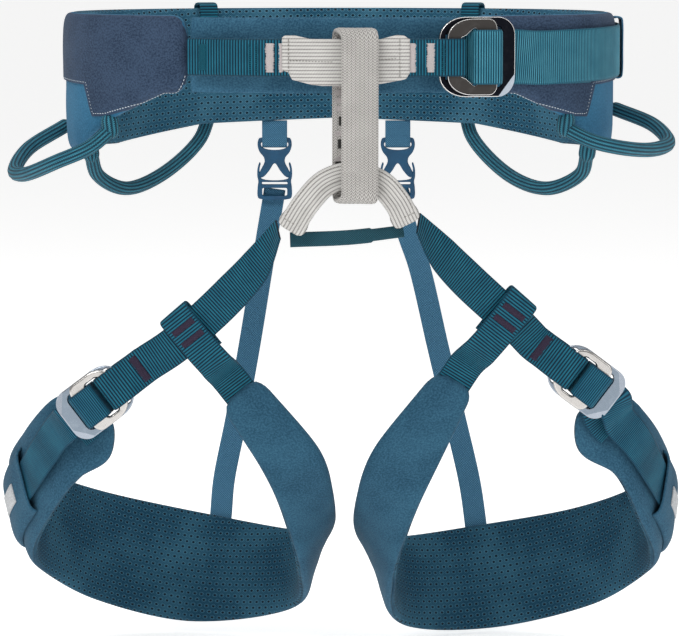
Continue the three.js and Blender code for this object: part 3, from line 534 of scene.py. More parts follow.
class Strip:
    """A flat strap along a path: stations with a length s, a point, across and outward directions."""

    def __init__(self, points, across, half, thick, step=0.42, closed=False, lift=None):
        points = np.asarray(points, float)
        across = np.asarray(across, float)
        if across.ndim == 1:
            across = np.repeat(across[None], len(points), axis=0)
        lift = np.asarray(lift if lift is not None else np.full(len(points), thick), float)
        if closed:
            points = np.vstack([points, points[:1]])
            across = np.vstack([across, across[:1]])
            lift = np.append(lift, lift[0])
        gaps = np.linalg.norm(np.diff(points, axis=0), axis=1)
        where = np.concatenate(
            [i + np.arange(n := max(int(round(g / step)), 1)) / n for i,
             g in enumerate(gaps)] + [[len(gaps)]])
        if closed:
            wide = np.vstack([points[-3:-1], points, points[1:3]])
            self.p = catmull(wide, where + 2)
        else:
            self.p = catmull(points, where)
        knots = np.arange(len(points))
        w = sample(where, knots, unit(across))
        thickness = np.interp(where, knots, lift)
        self.closed = closed
        if closed:
            self.p, w, thickness = self.p[:-1], w[:-1], thickness[:-1]
        t = np.roll(self.p, -1, 0) - np.roll(self.p, 1, 0)
        if not closed:
            t[0], t[-1] = self.p[1] - self.p[0], self.p[-1] - self.p[-2]
        self.t = unit(t)
        self.w = unit(w - self.t * np.sum(w * self.t, axis=1)[:, None])
        self.n = np.cross(self.t, self.w)
        self.s = run_length(self.p)
        self.half, self.thick = half, thickness

    def at(self, s, a, side=1, lift=0.0):
        """Point and outward normal on the strap's face at length s, a millimetres across."""
        p, w, n = (sample(s, self.s, rows) for rows in (self.p, self.w, self.n))
        rise = np.interp(s, self.s, self.thick) / 2 + lift
        w, n = unit(w), unit(n)
        return p + w * np.asarray(a)[..., None] + n * (side * rise)[..., None], n * side

    def mesh(self, name, ribs=0.0, pitch=RIB, columns=15, groove=None, edge=14, wide=None):
        """The strap's mesh, ribbed across if ribs is a depth, rounded at its edges by the power edge."""
        x = crowd(np.linspace(-1, 1, columns))
        cap = 0.16 + 0.84 * np.maximum(1 - np.abs(x) ** edge, 0) ** 0.5
        half = self.half if wide is None else np.interp(self.s, *zip(*wide))
        half = np.broadcast_to(half, self.s.shape)
        rib = ribs * (1 - np.abs(np.sin(math.pi * self.s / pitch)) ** 0.8)
        inner = 1 - ease(np.abs(x), 0.9, 0.97) * 0.7
        high = (self.thick[:, None] / 2 - rib[:, None] * inner[None]) * cap[None]
        if groove is not None:
            high = high - groove(self.s[:, None], x[None] * self.half)
        a = half[:, None] * x[None]
        place = lambda a, b: self.p[:, None] + self.w[:, None] * a[..., None] + self.n[:, None] * b[...,
                                                                                                    None]
        rings = np.concatenate([place(a, high), place(a[:, ::-1], -high[:, ::-1])], axis=1)
        v = around(a)
        uv = np.stack([np.repeat(self.s[:, None], v.shape[1], axis=1), v], axis=-1)
        if self.closed:
            total = self.s[-1] + np.linalg.norm(self.p[0] - self.p[-1])
            uv = np.concatenate([uv, np.stack([np.full_like(v[:1], total), v[:1]], axis=-1)])
        return loft(name, rings, uv, closed=self.closed)


STITCH = ((0, 0.55, -0.7), (0.12, 0.95, 0.15), (0.5, 1, 0.6), (0.88, 0.95, 0.15), (1, 0.55, -0.7))


def sew(name, runs, radius, body, slot, yarn_material):
    """Many short stitches as one piece: each leaves the fabric, arches over it and goes back in."""
    a, b, n = (np.concatenate([run[k] for run in runs]).reshape(-1, 3) for k in range(3))
    t = unit(b - a)
    side = np.cross(t, n)
    length = np.linalg.norm(b - a, axis=1)
    sides = 6
    turn = np.arange(sides) / sides * 2 * math.pi
    rings = []
    for where, size, high in STITCH:
        centre = a + (b - a) * where + n * (high * radius)
        rings.append(centre[:, None] + radius * size * (
            side[:, None] * np.cos(turn)[None, :, None] + n[:, None] * np.sin(turn)[None, :, None]))
    rings = np.stack(rings, axis=1)
    count, levels = rings.shape[:2]
    faces, corners = [], []
    for k in range(count):
        base = k * levels * sides
        for i in range(levels - 1):
            low, high = base + i * sides, base + (i + 1) * sides
            u0, u1 = length[k] * i / 4, length[k] * (i + 1) / 4
            for j in range(sides):
                q = (j + 1) % sides
                faces.append((low + j, high + j, high + q, low + q))
                corners.append(((u0, j * 0.3), (u1, j * 0.3), (u1, (j + 1) * 0.3), (u0, (j + 1) * 0.3)))
        for i, order in ((0, range(sides)), (levels - 1, range(sides - 1, -1, -1))):
            faces.append(tuple(base + i * sides + j for j in order))
            corners.append(tuple((0.1 * j, 0.0) for j in order))
    obj = closed_mesh(name, rings.reshape(-1, 3), faces, corners)
    return dress(obj, body, slot, yarn_material)


def run_of(place, path, stitch, gap):
    """Stitches along a row of (first, second) surface coordinates; place turns them into point and normal."""
    path = np.asarray(path, float)
    knots = np.linspace(0, len(path) - 1, 40 * (len(path) - 1) + 1)
    fine = sample(knots, np.arange(len(path)), path)
    points, normals = place(fine[:, 0], fine[:, 1])
    run = run_length(points)
    starts = np.arange(gap / 2, run[-1] - stitch, stitch + gap)
    middle = unit(sample(starts + stitch / 2, run, normals))
    return sample(starts, run, points), sample(starts + stitch, run, points), middle


JITTER = 0.35  # how far a bar tack's threads end out of line


def tack_of(place, first, second, spacing=0.52):
    """A bar tack: threads side by side, each running from first[0] to first[1], stacked over second."""
    rows = np.arange(second[0], second[1] + 1e-6, spacing * np.sign(second[1] - second[0]))
    a, _ = place(first[0] + RNG.uniform(-JITTER, JITTER, len(rows)), rows)
    b, _ = place(first[1] + RNG.uniform(-JITTER, JITTER, len(rows)), rows)
    _, n = place(np.full(len(rows), sum(first) / 2), rows)
    return a, b, n


# ---------------------------------------------------------------- padded skins
def swell(v):
    """Share of a pad's half thickness at v from its middle, 0 at the edges."""
    return np.maximum(1 - np.abs(v) ** 7.0, 0) ** (1 / 2.2)


def rumple(x, y, size, seed=0.0):
    """Smooth wrinkles from -1 to 1 at surface coordinates in millimetres."""
    x, y = np.broadcast_arrays(np.asarray(x, float), np.asarray(y, float))
    flat = [noise.noise(Vector((a / size, b / size, seed)))
            + 0.5 * noise.noise(Vector((a * 2.3 / size, b * 2.1 / size, seed + 9)))
            for a, b in zip(x.ravel(), y.ravel())]
    return np.asarray(flat).reshape(x.shape)


BELT_THICK, PAD_THICK, CLOTH_MM = 9.0, 8.5, 0.9


class Pad:
    """A curved pad: stations with a point on its outer face, across and outward directions and half width."""

    def __init__(self, p, w, n, half, thick, ends, wrinkle, seed):
        self.p, self.w, self.n, self.half, self.thick, self.seed = p, w, n, half, thick, seed
        self.s = run_length(p)
        self.wrinkle = wrinkle
        near = np.minimum(self.s / ends[0], (self.s[-1] - self.s) / ends[1])
        self.full = np.sqrt(1 - (1 - np.clip(near, 0, 1)) ** 2)

    def offset(self, s, v, side=1):
        full = np.interp(s, self.s, self.full)
        body = self.thick / 2 * (0.3 + 0.7 * full) * swell(v)
        across = v * np.interp(s, self.s, self.half)
        crease = rumple(s, across, 21, self.seed + side) * self.wrinkle * swell(v) * full
        return -self.thick / 2 + side * (body + crease)

    def place(self, s, v, side=1, lift=0.0):
        """Point and normal on the pad's skin; v runs from -1 to 1 across it."""
        s, v = np.broadcast_arrays(np.asarray(s, float), np.asarray(v, float))
        w, n = unit(sample(s, self.s, self.w)), unit(sample(s, self.s, self.n))
        corner = 1 - (1 - np.interp(s, self.s, self.full)) * 0.55
        width = np.interp(s, self.s, self.half) * corner
        off = self.offset(s, v, side) + side * lift
        return sample(s, self.s, self.p) + w * (v * width)[..., None] + n * off[..., None], n * side

    def skin(self, name, side):
        """One face of the pad as a closed layer of cloth."""
        v = crowd(np.linspace(-1, 1, 33), 1.8)
        s = self.s[:, None]
        outer, _ = self.place(s, v[None], side)
        shrink = 1 - CLOTH_MM / np.maximum(self.half, 5)
        inner, _ = self.place(s, v[None] * shrink[:, None], side, -CLOTH_MM)
        return sheet(name, outer, inner, s, v[None] * self.half[:, None])


def belt_pad():
    deg = np.arange(34, 320.01, 1.0)
    p, _, n = belt_frame(deg)
    top, low = belt_top(deg), belt_low(deg)
    p[:, 2] = (top + low) / 2
    w = np.repeat([[0.0, 0.0, 1.0]], len(deg), axis=0)
    pad = Pad(p, w, n, (top - low) / 2, BELT_THICK, (9, 9), 0.35, 3.0)
    pad.deg = deg
    return pad


BELT = belt_pad()


def belt_skin(deg, z, lift=0.0):
    """Point and normal on the belt's outer fabric, or lift above it."""
    deg, z = np.broadcast_arrays(np.asarray(deg, float) % 360, np.asarray(z, float))
    s = np.interp(deg, BELT.deg, BELT.s)
    v = (z - (belt_top(deg) + belt_low(deg)) / 2) / ((belt_top(deg) - belt_low(deg)) / 2)
    return BELT.place(s, np.clip(v, -1, 1), 1, lift)


# ---------------------------------------------------------------- waist belt
FABRIC = cloth("shell_fabric", rgb(26, 80, 114), rgb(60, 118, 150))
TONGUE = cloth("tongue_fabric", rgb(22, 60, 84), rgb(66, 112, 138))
NAVY = cloth("band_fabric", rgb(20, 56, 78), rgb(56, 100, 124))
PANEL = cloth("panel_fabric", rgb(24, 38, 58), rgb(60, 78, 102), pitch=0.7, slub=0.25, patches=0.05)
# Spacer mesh colours: the last also paints the highlight on the hole rims and random lighter patches; the holes
# get a painted near-black shade.
MESH = spacer_mesh("lining_mesh", rgb(8, 42, 62), rgb(38, 90, 116), rgb(104, 162, 186))
LEG_MESH = spacer_mesh("leg_mesh", rgb(6, 32, 50), rgb(26, 72, 96), rgb(80, 136, 160))
WHITE_YARN = yarn("white_yarn", rgb(170, 185, 196), rgb(236, 242, 246))
TACK_YARN = yarn("tack_yarn", rgb(158, 148, 150), rgb(232, 226, 224))
TEAL_YARN = yarn("teal_yarn", rgb(4, 44, 62), rgb(30, 112, 132))
PURPLE_YARN = yarn("purple_yarn", rgb(22, 20, 36), rgb(78, 66, 88))
GREY_YARN = yarn("grey_yarn", rgb(88, 84, 80), rgb(170, 166, 160))
BLACK_YARN = yarn("black_yarn", rgb(14, 14, 16), rgb(72, 72, 70))
WEB_T = 1.6  # one layer of webbing
WEB20_HALF, WEB30_HALF, LEG_WEB_HALF, BRANCH_HALF = 10.2, 14.8, 10.4, 9.8
WEB20 = webbing("webbing_20", WEB20_HALF, *TEAL, RIB)
WEB30 = webbing("webbing_30", WEB30_HALF, *TAIL_TEAL, 1.35)


def make_belt():
    shell = BELT.skin("belt_outer_fabric", 1)
    dress(shell, "waist", "fabric", FABRIC, "waist_shell", "waist_foam", "waist_load_webbing")
    lining = BELT.skin("belt_spacer_lining", -1)
    dress(lining, "waist", "mesh", MESH, "waist_lining")


def make_tongue():
    deg = np.linspace(-39.4, 48, 60)
    high = lerp(-4, -9.5, ease(deg, 2, 27))
    strip = Strip(belt_at(deg, high - 2.3, np.zeros_like(deg)), (0, 0, 1), 20.6, 4.6, step=0.9)

    def folds(s, a):
        low = ease(-a, 8, 18) * 0.75 + ease(a, 10, 19) * 0.35
        return 0.35 + low * 0.8 * (rumple(s, a * 0.25, 9, 5.0)) - 0.25 * rumple(s, a, 25, 2.0)

    obj = strip.mesh("belt_front_tongue", columns=41, edge=9, groove=folds)
    dress(obj, "waist", "fabric", TONGUE, "waist_tongue")


PANEL_LOWER = [(38, -20), (62, -35), (66, -35.5), (69, -18), (90, -16), (104, -15)]


def make_panel(name, side, start, slant, node):
    """Reinforcing fabric over a wing, hemmed all round, with a row of stitches by its lower edge."""
    knots = np.unique(np.concatenate([np.linspace(start, 104, 90), [62, 66, 69]]))
    share = np.linspace(0, 1, 31)
    share = np.sign(share - 0.5) * (0.5 - 0.5 * (1 - 2 * np.abs(share - 0.5)) ** 1.6) + 0.5
    low = along(PANEL_LOWER, knots) + 0.2
    z = low[:, None] + (belt_top(knots) - 0.35 - low)[:, None] * share[None]
    inset = (z + 36) / 58 * slant * (1 - ease(knots, start, start + 14))[:, None]
    deg = side * (knots[:, None] - inset)
    hem = np.maximum(1 - np.abs(share * 2 - 1) ** 40, 0) ** 0.5
    near = ease(knots, start, start + 1.2)[:, None] * 0.85 + 0.15
    thick = 0.25 + 0.95 * hem[None] * near
    outer, _ = belt_skin(deg, z, 0.35 + thick)
    inner, _ = belt_skin(deg, z, np.full_like(z, 0.3))
    dress(sheet(name, outer, inner, belt_arc(knots)[:, None], z), "waist", "panel", PANEL, node)
    place = lambda d, h: belt_skin(side * np.asarray(d), h, 1.25)
    lower = [(start + 0.8, along(PANEL_LOWER, start + 0.8) + 1.8), (61.8, -33.2), (65.4, -33.6),
             (67.9, -16.4), (90, -14.2), (103, -13.2)]
    sew(name + "_stitches", [run_of(place, lower, 1.25, 0.72)], 0.27, "waist", "panel", WHITE_YARN)


# ---------------------------------------------------------------- buckles
class Axes:
    """A buckle's own axes: s along the strap, h out of the belt, c across."""

    def __init__(self, origin, s, h):
        self.o, self.s, self.h = (np.asarray(x, float) for x in (origin, s, h))
        self.s, self.h = unit(self.s), unit(self.h)
        self.c = np.cross(self.h, self.s)

    def at(self, s, h, c=0.0):
        s, h, c = (np.asarray(x, float)[..., None] for x in (s, h, c))
        return self.o + self.s * s + self.h * h + self.c * c

    def matrix(self):
        m = Matrix.Identity(4)
        for k, axis in enumerate((self.s, self.c, self.h)):
            for r in range(3):
                m[r][k] = axis[r] * MM
        for r in range(3):
            m[r][3] = self.o[r] * MM
        return m


def rounded(x0, x1, y, near, far, count=9):
    """Outline from x0 to x1, y to each side, with elliptical corners near=(rx, ry) and far=(rx, ry)."""
    turn = np.linspace(0, math.pi / 2, count)
    points = []
    for cx, cy, (rx, ry), start in ((x1 - far[0], -y + far[1], far, -90), (x1 - far[0], y - far[1], far, 0),
                                    (x0 + near[0], y - near[1], near, 90),
                                    (x0 + near[0], -y + near[1], near, 180)):
        a = math.radians(start) + turn
        points += [(cx + rx * math.cos(q), cy + ry * math.sin(q)) for q in a]
    return points


def plate(name, outline, holes, matrix, low, high, bevel, materials, resolution=2, outer_only=False,
          facets=()):
    """A plate with holes and rounded-over edges. materials are its faces, edges and facets; a facet is
    (x, y, direction in degrees, tilt in degrees) of a plane that takes off a corner of the upper face."""
    data = bpy.data.curves.new(name, "CURVE")
    data.dimensions = "2D"
    data.fill_mode = "BOTH"
    for loop in [outline, *holes]:
        line = data.splines.new("POLY")
        line.points.add(len(loop) - 1)
        for point, (x, y) in zip(line.points, loop):
            point.co = (x, y, 0, 1)
        line.use_cyclic_u = True
    data.extrude = (high - low) / 2 - bevel
    data.bevel_depth = bevel
    data.bevel_resolution = resolution
    data.offset = -bevel
    curve = bpy.data.objects.new(name + "_curve", data)
    bpy.context.scene.collection.objects.link(curve)
    bpy.context.view_layer.update()
    mesh = bpy.data.meshes.new_from_object(curve.evaluated_get(bpy.context.evaluated_depsgraph_get()))
    bpy.data.objects.remove(curve)
    mesh.name = name
    mesh.transform(Matrix.Translation((0, 0, (low + high) / 2)))
    merge_close(mesh, 0.002)
    planes = [take_corner(mesh, x, y, high, turn, tilt) for x, y, turn, tilt in facets]
    while mesh.uv_layers:
        mesh.uv_layers.remove(mesh.uv_layers[0])
    layer = mesh.uv_layers.new(name="Map")
    for loop in mesh.loops:
        layer.data[loop.index].uv = mesh.vertices[loop.vertex_index].co[:2]
    mesh.materials.clear()
    for material in materials:
        mesh.materials.append(material)
    middle = Vector((sum(q[0] for q in outline), sum(q[1] for q in outline))) / len(outline)
    for polygon in mesh.polygons:
        tilt = abs(polygon.normal.z)
        outward = (polygon.center.xy - middle).dot(polygon.normal.xy) > 0
        rim = 0.05 < tilt < 0.97 and (outward or not outer_only)
        cut = any(polygon.normal.dot(plane) > 0.999 for plane in planes)
        polygon.material_index = 2 if cut else int(rim)
        polygon.use_smooth = 0.02 < tilt < 0.999 and not cut
    mesh.transform(matrix)
    obj = bpy.data.objects.new(name, mesh)
    bpy.context.scene.collection.objects.link(obj)
    return obj


def take_corner(mesh, x, y, z, turn, tilt):
    """Cuts a corner off by a tilted plane through (x, y, z) and closes the cut; returns its normal."""
    turn, tilt = math.radians(turn), math.radians(tilt)
    normal = Vector((math.cos(turn) * math.sin(tilt), math.sin(turn) * math.sin(tilt), math.cos(tilt)))
    bm = bmesh.new()
    bm.from_mesh(mesh)
    cut = bmesh.ops.bisect_plane(bm, geom=bm.verts[:] + bm.edges[:] + bm.faces[:], dist=0.0001,
                                 plane_co=(x, y, z), plane_no=normal, clear_outer=True)
    edges = [item for item in cut["geom_cut"] if isinstance(item, bmesh.types.BMEdge) and item.is_boundary]
    bmesh.ops.contextual_create(bm, geom=edges)
    bmesh.ops.recalc_face_normals(bm, faces=bm.faces)
    bm.to_mesh(mesh)
    bm.free()
    return normal


def merge_close(mesh, distance):
    bm = bmesh.new()
    bm.from_mesh(mesh)
    bmesh.ops.remove_doubles(bm, verts=bm.verts, dist=distance)
    bmesh.ops.recalc_face_normals(bm, faces=bm.faces)
    bm.to_mesh(mesh)
    bm.free()


WAIST_BUCKLE = dict(ring_bar=(19, 30.2), frame_bar=33.8)
LEG_BUCKLE = dict(ring_bar=(17.4, 27.4), frame_bar=30.6)
WAIST_AXES = Axes((56.2, -117.5, -0.7), (0.9716, 0.2368, 0), (0.2368, -0.9716, 0))
EYE_OVER = [(-6, 1.8), (-2.6, 3.3), (9.2, 3.3), (11, 2.5), (11.8, 0.8)]
EYE_UNDER = [(11.8, -3.4), (11, -5.2), (9.2, -6), (-2.6, -6), (-7, -4), (-11, -2.4), (-17, -2.3)]


RING_LOW, FRAME_LEVEL = -1.3, (-3.9, -1.5)  # the ring lies on the frame


def adjust_path(buckle, far):
    """Up through both openings, over the ring's far bar and down under the frame's far bar."""
    near, end = buckle["ring_bar"]
    edge = buckle["frame_bar"]
    drop = (end + edge) / 2
    return [(near + 3, -6.6), (15.6, -6.7), (14, -6.3), (13.6, -5), (14.5, -3.4), (near - 2.2, -1),
            (near - 1.8, 1.6), (near - 0.6, 3.4), (near + 1.6, 4.3), (near + 5.6, 4.6), (end - 0.8, 4.7),
            (drop - 0.9, 4.2),
            (drop, 2.8), (drop + 0.1, 0), (drop + 0.1, -2.6), (drop + 0.8, -4.2), (edge + 0.9, -4.9),
            (far, -5)]


BLACK = metal("black_anodised", (0.008, 0.009, 0.013, 1), (0.03, 0.03, 0.035, 1), 0.36)
BRIGHT = metal("bright_edge", (0.75, 0.74, 0.73, 1), (0.45, 0.45, 0.46, 1), 0.24)
GREY = metal("grey_anodised", (0.06, 0.055, 0.052, 1), (0.1, 0.095, 0.09, 1), 0.42)
SILVER = metal("polished_silver", (0.56, 0.54, 0.52, 1), (0.4, 0.39, 0.38, 1), 0.2, brushed=0.12)
SLATE = metal("slate_anodised", (0.25, 0.3, 0.36, 1), (0.37, 0.43, 0.49, 1), 0.3)
FACET = metal("bright_facet", (0.36, 0.4, 0.46, 1), (0.5, 0.54, 0.6, 1), 0.28)


def make_waist_buckle():
    m = WAIST_AXES.matrix()
    hole = mirrored([(10.2, -10.6), (12.6, -11.6), (16.2, -14.9), (17.4, -15.6), (18.2, -15.4),
                     (19, -14.4)], 1)
    ring = plate("waist_buckle_ring_plate", rounded(2.4, 30.2, 20.7, (14, 10), (4.6, 5.2)), [hole], m,
                 RING_LOW, 1, 0.32,
                 (GREY, BRIGHT))
    dress(ring, "waist_buckle_frame", "grey", None, "waist_buckle_ring")
    opening = mirrored([(1.7, -12.2), (11.8, -12.21), (11.8, -15.6), (12.8, -16.8), (31, -16.8), (33, -16),
                        (33.8, -14)], 1)
    body = plate("waist_buckle_outer_frame", rounded(-1.7, 41, 21.7, (15, 12), (9.5, 9.5)), [opening], m,
                 *FRAME_LEVEL, 0.36,
                 (BLACK, BRIGHT, FACET), outer_only=True, facets=[(32.3, -20.5, -37, 25)])
    dress(body, "waist_buckle_frame", "black", None, "waist_buckle_frame")


# ---------------------------------------------------------------- webbing at the waist
FRONT_Z, FRONT_OFF = -0.8, 8.5  # height and distance from the belt of the front webbing


def make_front_webbing():
    deg = np.linspace(-38.8, 16, 15)
    main = belt_at(deg, lerp(2.3, FRONT_OFF, ease(deg, -39, -20)), np.full_like(deg, FRONT_Z))
    eye = np.array([WAIST_AXES.at(s, h) for s, h in EYE_OVER + EYE_UNDER])
    eye[:, 2] = FRONT_Z
    points = np.vstack([main, eye])
    thick = np.where(points[:, 0] < 36, 3.0, 1.6)
    strip = Strip(points, (0, 0, 1), WEB20_HALF, 3.0, lift=thick)
    dress(strip.mesh("front_tie_in_webbing", ribs=0.34), "waist", "webbing", WEB20, "front_webbing")
    first = int(np.argmax(strip.p[:, 0]))
    where = lambda x: np.interp(x, strip.p[:first, 0], strip.s[:first])
    place = lambda s, a: strip.at(np.asarray(s, float), np.asarray(a, float), 1, 0.05)
    spans = ((-39.8, -35.2), (-32.6, -30.4), (37.6, 41.2), (47.2, 51.6))
    pale = [tack_of(place, (where(x0), where(x1)), (-7.6, 7.8)) for x0, x1 in spans]
    sew("front_bar_tacks", pale, 0.27, "waist", "webbing", TACK_YARN)
    teal = [tack_of(place, (where(-76), where(-71.6)), (-6.8, 7.2))]
    teal += [tack_of(place, (where(x), where(x + 1.4)), (-7.5, 7.5), 1.1) for x in (-49, -45.2, 55.5)]
    sew("front_teal_tacks", teal, 0.25, "waist", "webbing", TEAL_YARN)


def make_waist_strap():
    under = [belt_at(d, 2.7, -1.6) for d in (66, 60, 55, 50)]
    through = [WAIST_AXES.at(s, h) for s, h in [(34, -6.6), *adjust_path(WAIST_BUCKLE, 42)]]
    tail = [(50, 5.2), (56, 5), (62, 5), (68, 4.8), (74, 3.9), (80, 3.1), (87, 3), (94, 3), (101, 3)]
    back = [belt_at(d, off, along([(45, -2), (104, 1.6)], d)) for d, off in tail]
    strip = Strip(np.vstack([under, through, back]), (0, 0, 1), WEB30_HALF, 1.5, step=0.36)
    dress(strip.mesh("waist_adjusting_strap", ribs=0.24, pitch=1.35), "waist", "webbing", WEB30,
          "waist_strap")
    p, t, n = belt_frame(np.array(92.0))
    path = mirrored([(-17.1, 0.9), (-17.4, 3.2), (-16.6, 4.9), (-14, 5.4), (0, 5.5)])
    points = np.array([p + n * off + np.array([0, 0, z + 1.6]) for z, off in path])
    keeper = Strip(points, t, 8.6, 1.1, step=0.6)
    dress(keeper.mesh("strap_tail_keeper", edge=10), "waist", "elastic", ELASTIC, "strap_keeper")


ELASTIC = twill("elastic_weave", rgb(28, 76, 108), rgb(106, 158, 186))


# ---------------------------------------------------------------- tie-in points and belay loop
SLEEVE = sleeve_weave("sleeve_weave", rgb(96, 93, 92), rgb(216, 214, 210), 1.9)
BELAY = chevron_weave("belay_weave", rgb(88, 85, 83), rgb(206, 203, 199))
SLEEVE_TOP = [(-31.5, 9.6), (-29.5, 11.2), (-24, 11.2), (-16, 9.4), (22, 9.2), (31, 11.5), (35, 11.1),
              (37.3, 9.4)]
SLEEVE_LOW = [(-31.5, -6.4), (-30, -8), (-27.6, -8.6), (-25.6, -12.6), (-15, -15.4), (-9, -16),
              (18, -15.6), (25, -14.4), (33, -13),
              (36, -12.2), (37.3, -9.6)]


def make_sleeve():
    deg = np.linspace(-14.8, 18.0, 90)
    p, _, n = belt_frame(deg)
    p = p + n * FRONT_OFF
    top, low = along(SLEEVE_TOP, p[:, 0]), along(SLEEVE_LOW, p[:, 0])
    turn = np.linspace(-math.pi, math.pi, 49)[:-1]
    c, s = np.cos(turn), np.sin(turn)
    c = np.sign(c) * np.abs(c) ** 0.42
    s = np.sign(s) * np.abs(s) ** 0.42
    ends = np.sqrt(np.clip(1 - np.abs(np.linspace(-1, 1, 90)) ** 24, 0, 1)) * 0.35 + 0.65
    z = (top + low)[:, None] / 2 + (top - low)[:, None] / 2 * c[None]
    ridge = 0.22 * np.abs(np.sin(math.pi * z / 1.9))
    collar = 0.35 * (ease(-p[:, 0], 27.0, 27.8) + ease(p[:, 0], 31.8, 32.6))
    off = s[None] * (3.0 * ends + collar)[:, None] + np.sign(s)[None] * (ridge - 0.2) * np.abs(s)[None]
    rings = p[:, None] + n[:, None] * off[..., None]
    rings[..., 2] = z
    v = np.concatenate([z, z[:, :1]], axis=1)
    uv = np.stack([np.repeat(run_length(p)[:, None], v.shape[1], axis=1), v], axis=-1)
    obj = loft("upper_tie_in_sleeve", rings, uv, capped=False)
    close_ends(obj, 48)
    dress(obj, "waist", "sleeve", SLEEVE, "tie_in_sleeve")

    def place(x, h):
        d = np.interp(x, p[:, 0], deg)
        q, _, m = belt_frame(d)
        q = q + m * 11.75
        q[..., 2] = h
        return q, m

    runs = [run_of(place, path, 0.9, 0.8) for path in ([(-27, -2.2), (-3, -3.0)],
                                                       [(19, -2.2), (31.5, -0.8)])]
    runs += [run_of(place, [(x, 9.8), (x, low)], 1.5, 0.9) for x, low in ((-27.2, -9.4), (32.2, -11.4))]
    sew("sleeve_seam_stitches", runs, 0.2, "waist", "sleeve", GREY_YARN)


def close_ends(obj, around):
    """Caps the two open ends of a loft with one face each."""
    bm = bmesh.new()
    bm.from_mesh(obj.data)
    bm.verts.ensure_lookup_table()
    count = len(bm.verts)
    layer = bm.loops.layers.uv["Map"]
    for base in (0, count - around):
        face = bm.faces.new([bm.verts[base + k] for k in range(around)])
        face.smooth = True
        for loop in face.loops:
            near = [x for x in loop.vert.link_loops if x.face is not face]
            loop[layer].uv = near[0][layer].uv if near else (0, 0)
    bmesh.ops.recalc_face_normals(bm, faces=bm.faces)
    bm.to_mesh(obj.data)
    bm.free()


ARCH = [(-27.4, -121, -94.5), (-18, -122, -79.5), (-7, -123.2, -68.2), (8, -123.5, -64.2),
        (22, -123.2, -68.8),
        (31, -122, -78.5), (37.4, -121, -91)]


def make_arch():
    where = np.linspace(0, 6, 121)
    p = catmull(ARCH, where)
    t = unit(np.gradient(p, axis=0))
    w = unit(np.stack([-t[:, 2], np.zeros(len(t)), t[:, 0]], axis=1))
    s = run_length(p)
    end = np.minimum(s, s[-1] - s)
    half = 7.4 * (0.62 + 0.38 * np.sqrt(np.clip(1 - (1 - np.clip(end / 4.5, 0, 1)) ** 2, 0, 1)))
    half = half + 0.7 * (1 - ease(end, 5, 9))
    x = crowd(np.linspace(-1, 1, 41))
    cap = 0.12 + 0.88 * np.maximum(1 - np.abs(x) ** 8, 0) ** 0.5
    tuck = 1.5 * ease(-x, 0.16, 0.24)
    ridge = 0.2 * np.abs(np.sin(math.pi * x * 7.4 / 1.9))
    front = (3.2 * cap - tuck - ridge)[None] * np.ones_like(half)[:, None]
    back = (3.0 * cap)[None] * np.ones_like(half)[:, None]
    a = half[:, None] * x[None]
    n = np.array([0.0, -1.0, 0.0])
    outer = p[:, None] + w[:, None] * a[..., None] + n * front[..., None]
    inner = p[:, None] + w[:, None] * a[..., None] - n * back[..., None]
    dress(sheet("lower_tie_in_arch", outer, inner, s[:, None], a), "waist", "sleeve", SLEEVE, "tie_in_arch")

    def place(at, across):
        q = sample(at, s, p) + sample(at, s, w) * np.asarray(across)[..., None] + n * 3.05
        return q, np.broadcast_to(n, q.shape)

    last = s[-1]
    runs = [run_of(place, [(5.5, 5.9), (last - 5.5, 5.9)], 1.1, 1.0)]
    runs += [run_of(place, [(at, 6.2), (at, -1.0)], 1.5, 0.9) for at in (4.6, last - 4.6)]
    sew("arch_seam_stitches", runs, 0.2, "waist", "sleeve", GREY_YARN)


def belay_path():
    x, y, gap, t, top, bottom, turn = 8.5, -123.5, 11.8, 3.8, 15.4, -79.8, 0.62
    front, back = y - gap / 2 - t / 2, y + gap / 2 + t / 2
    r = (back - front) / 2
    rise = r * turn

    def bend(d, way, z):
        c, s = math.cos(math.radians(d)), math.sin(math.radians(d))
        return (x + way * 2.5 * c, y - way * r * math.copysign(abs(c) ** 0.8, c),
                z + way * rise * max(s, 0) ** 0.8)

    points = [(x + 2.5, front, z) for z in (-62, -45, -28, -10)]
    points += [bend(d, 1, top - t / 2 - rise) for d in range(0, 181, 15)]
    points += [(x - 2.5, back, z) for z in (-12, -36, -60)]
    points += [bend(d, -1, bottom + t / 2 + rise) for d in range(0, 181, 15)]
    return np.array(points)


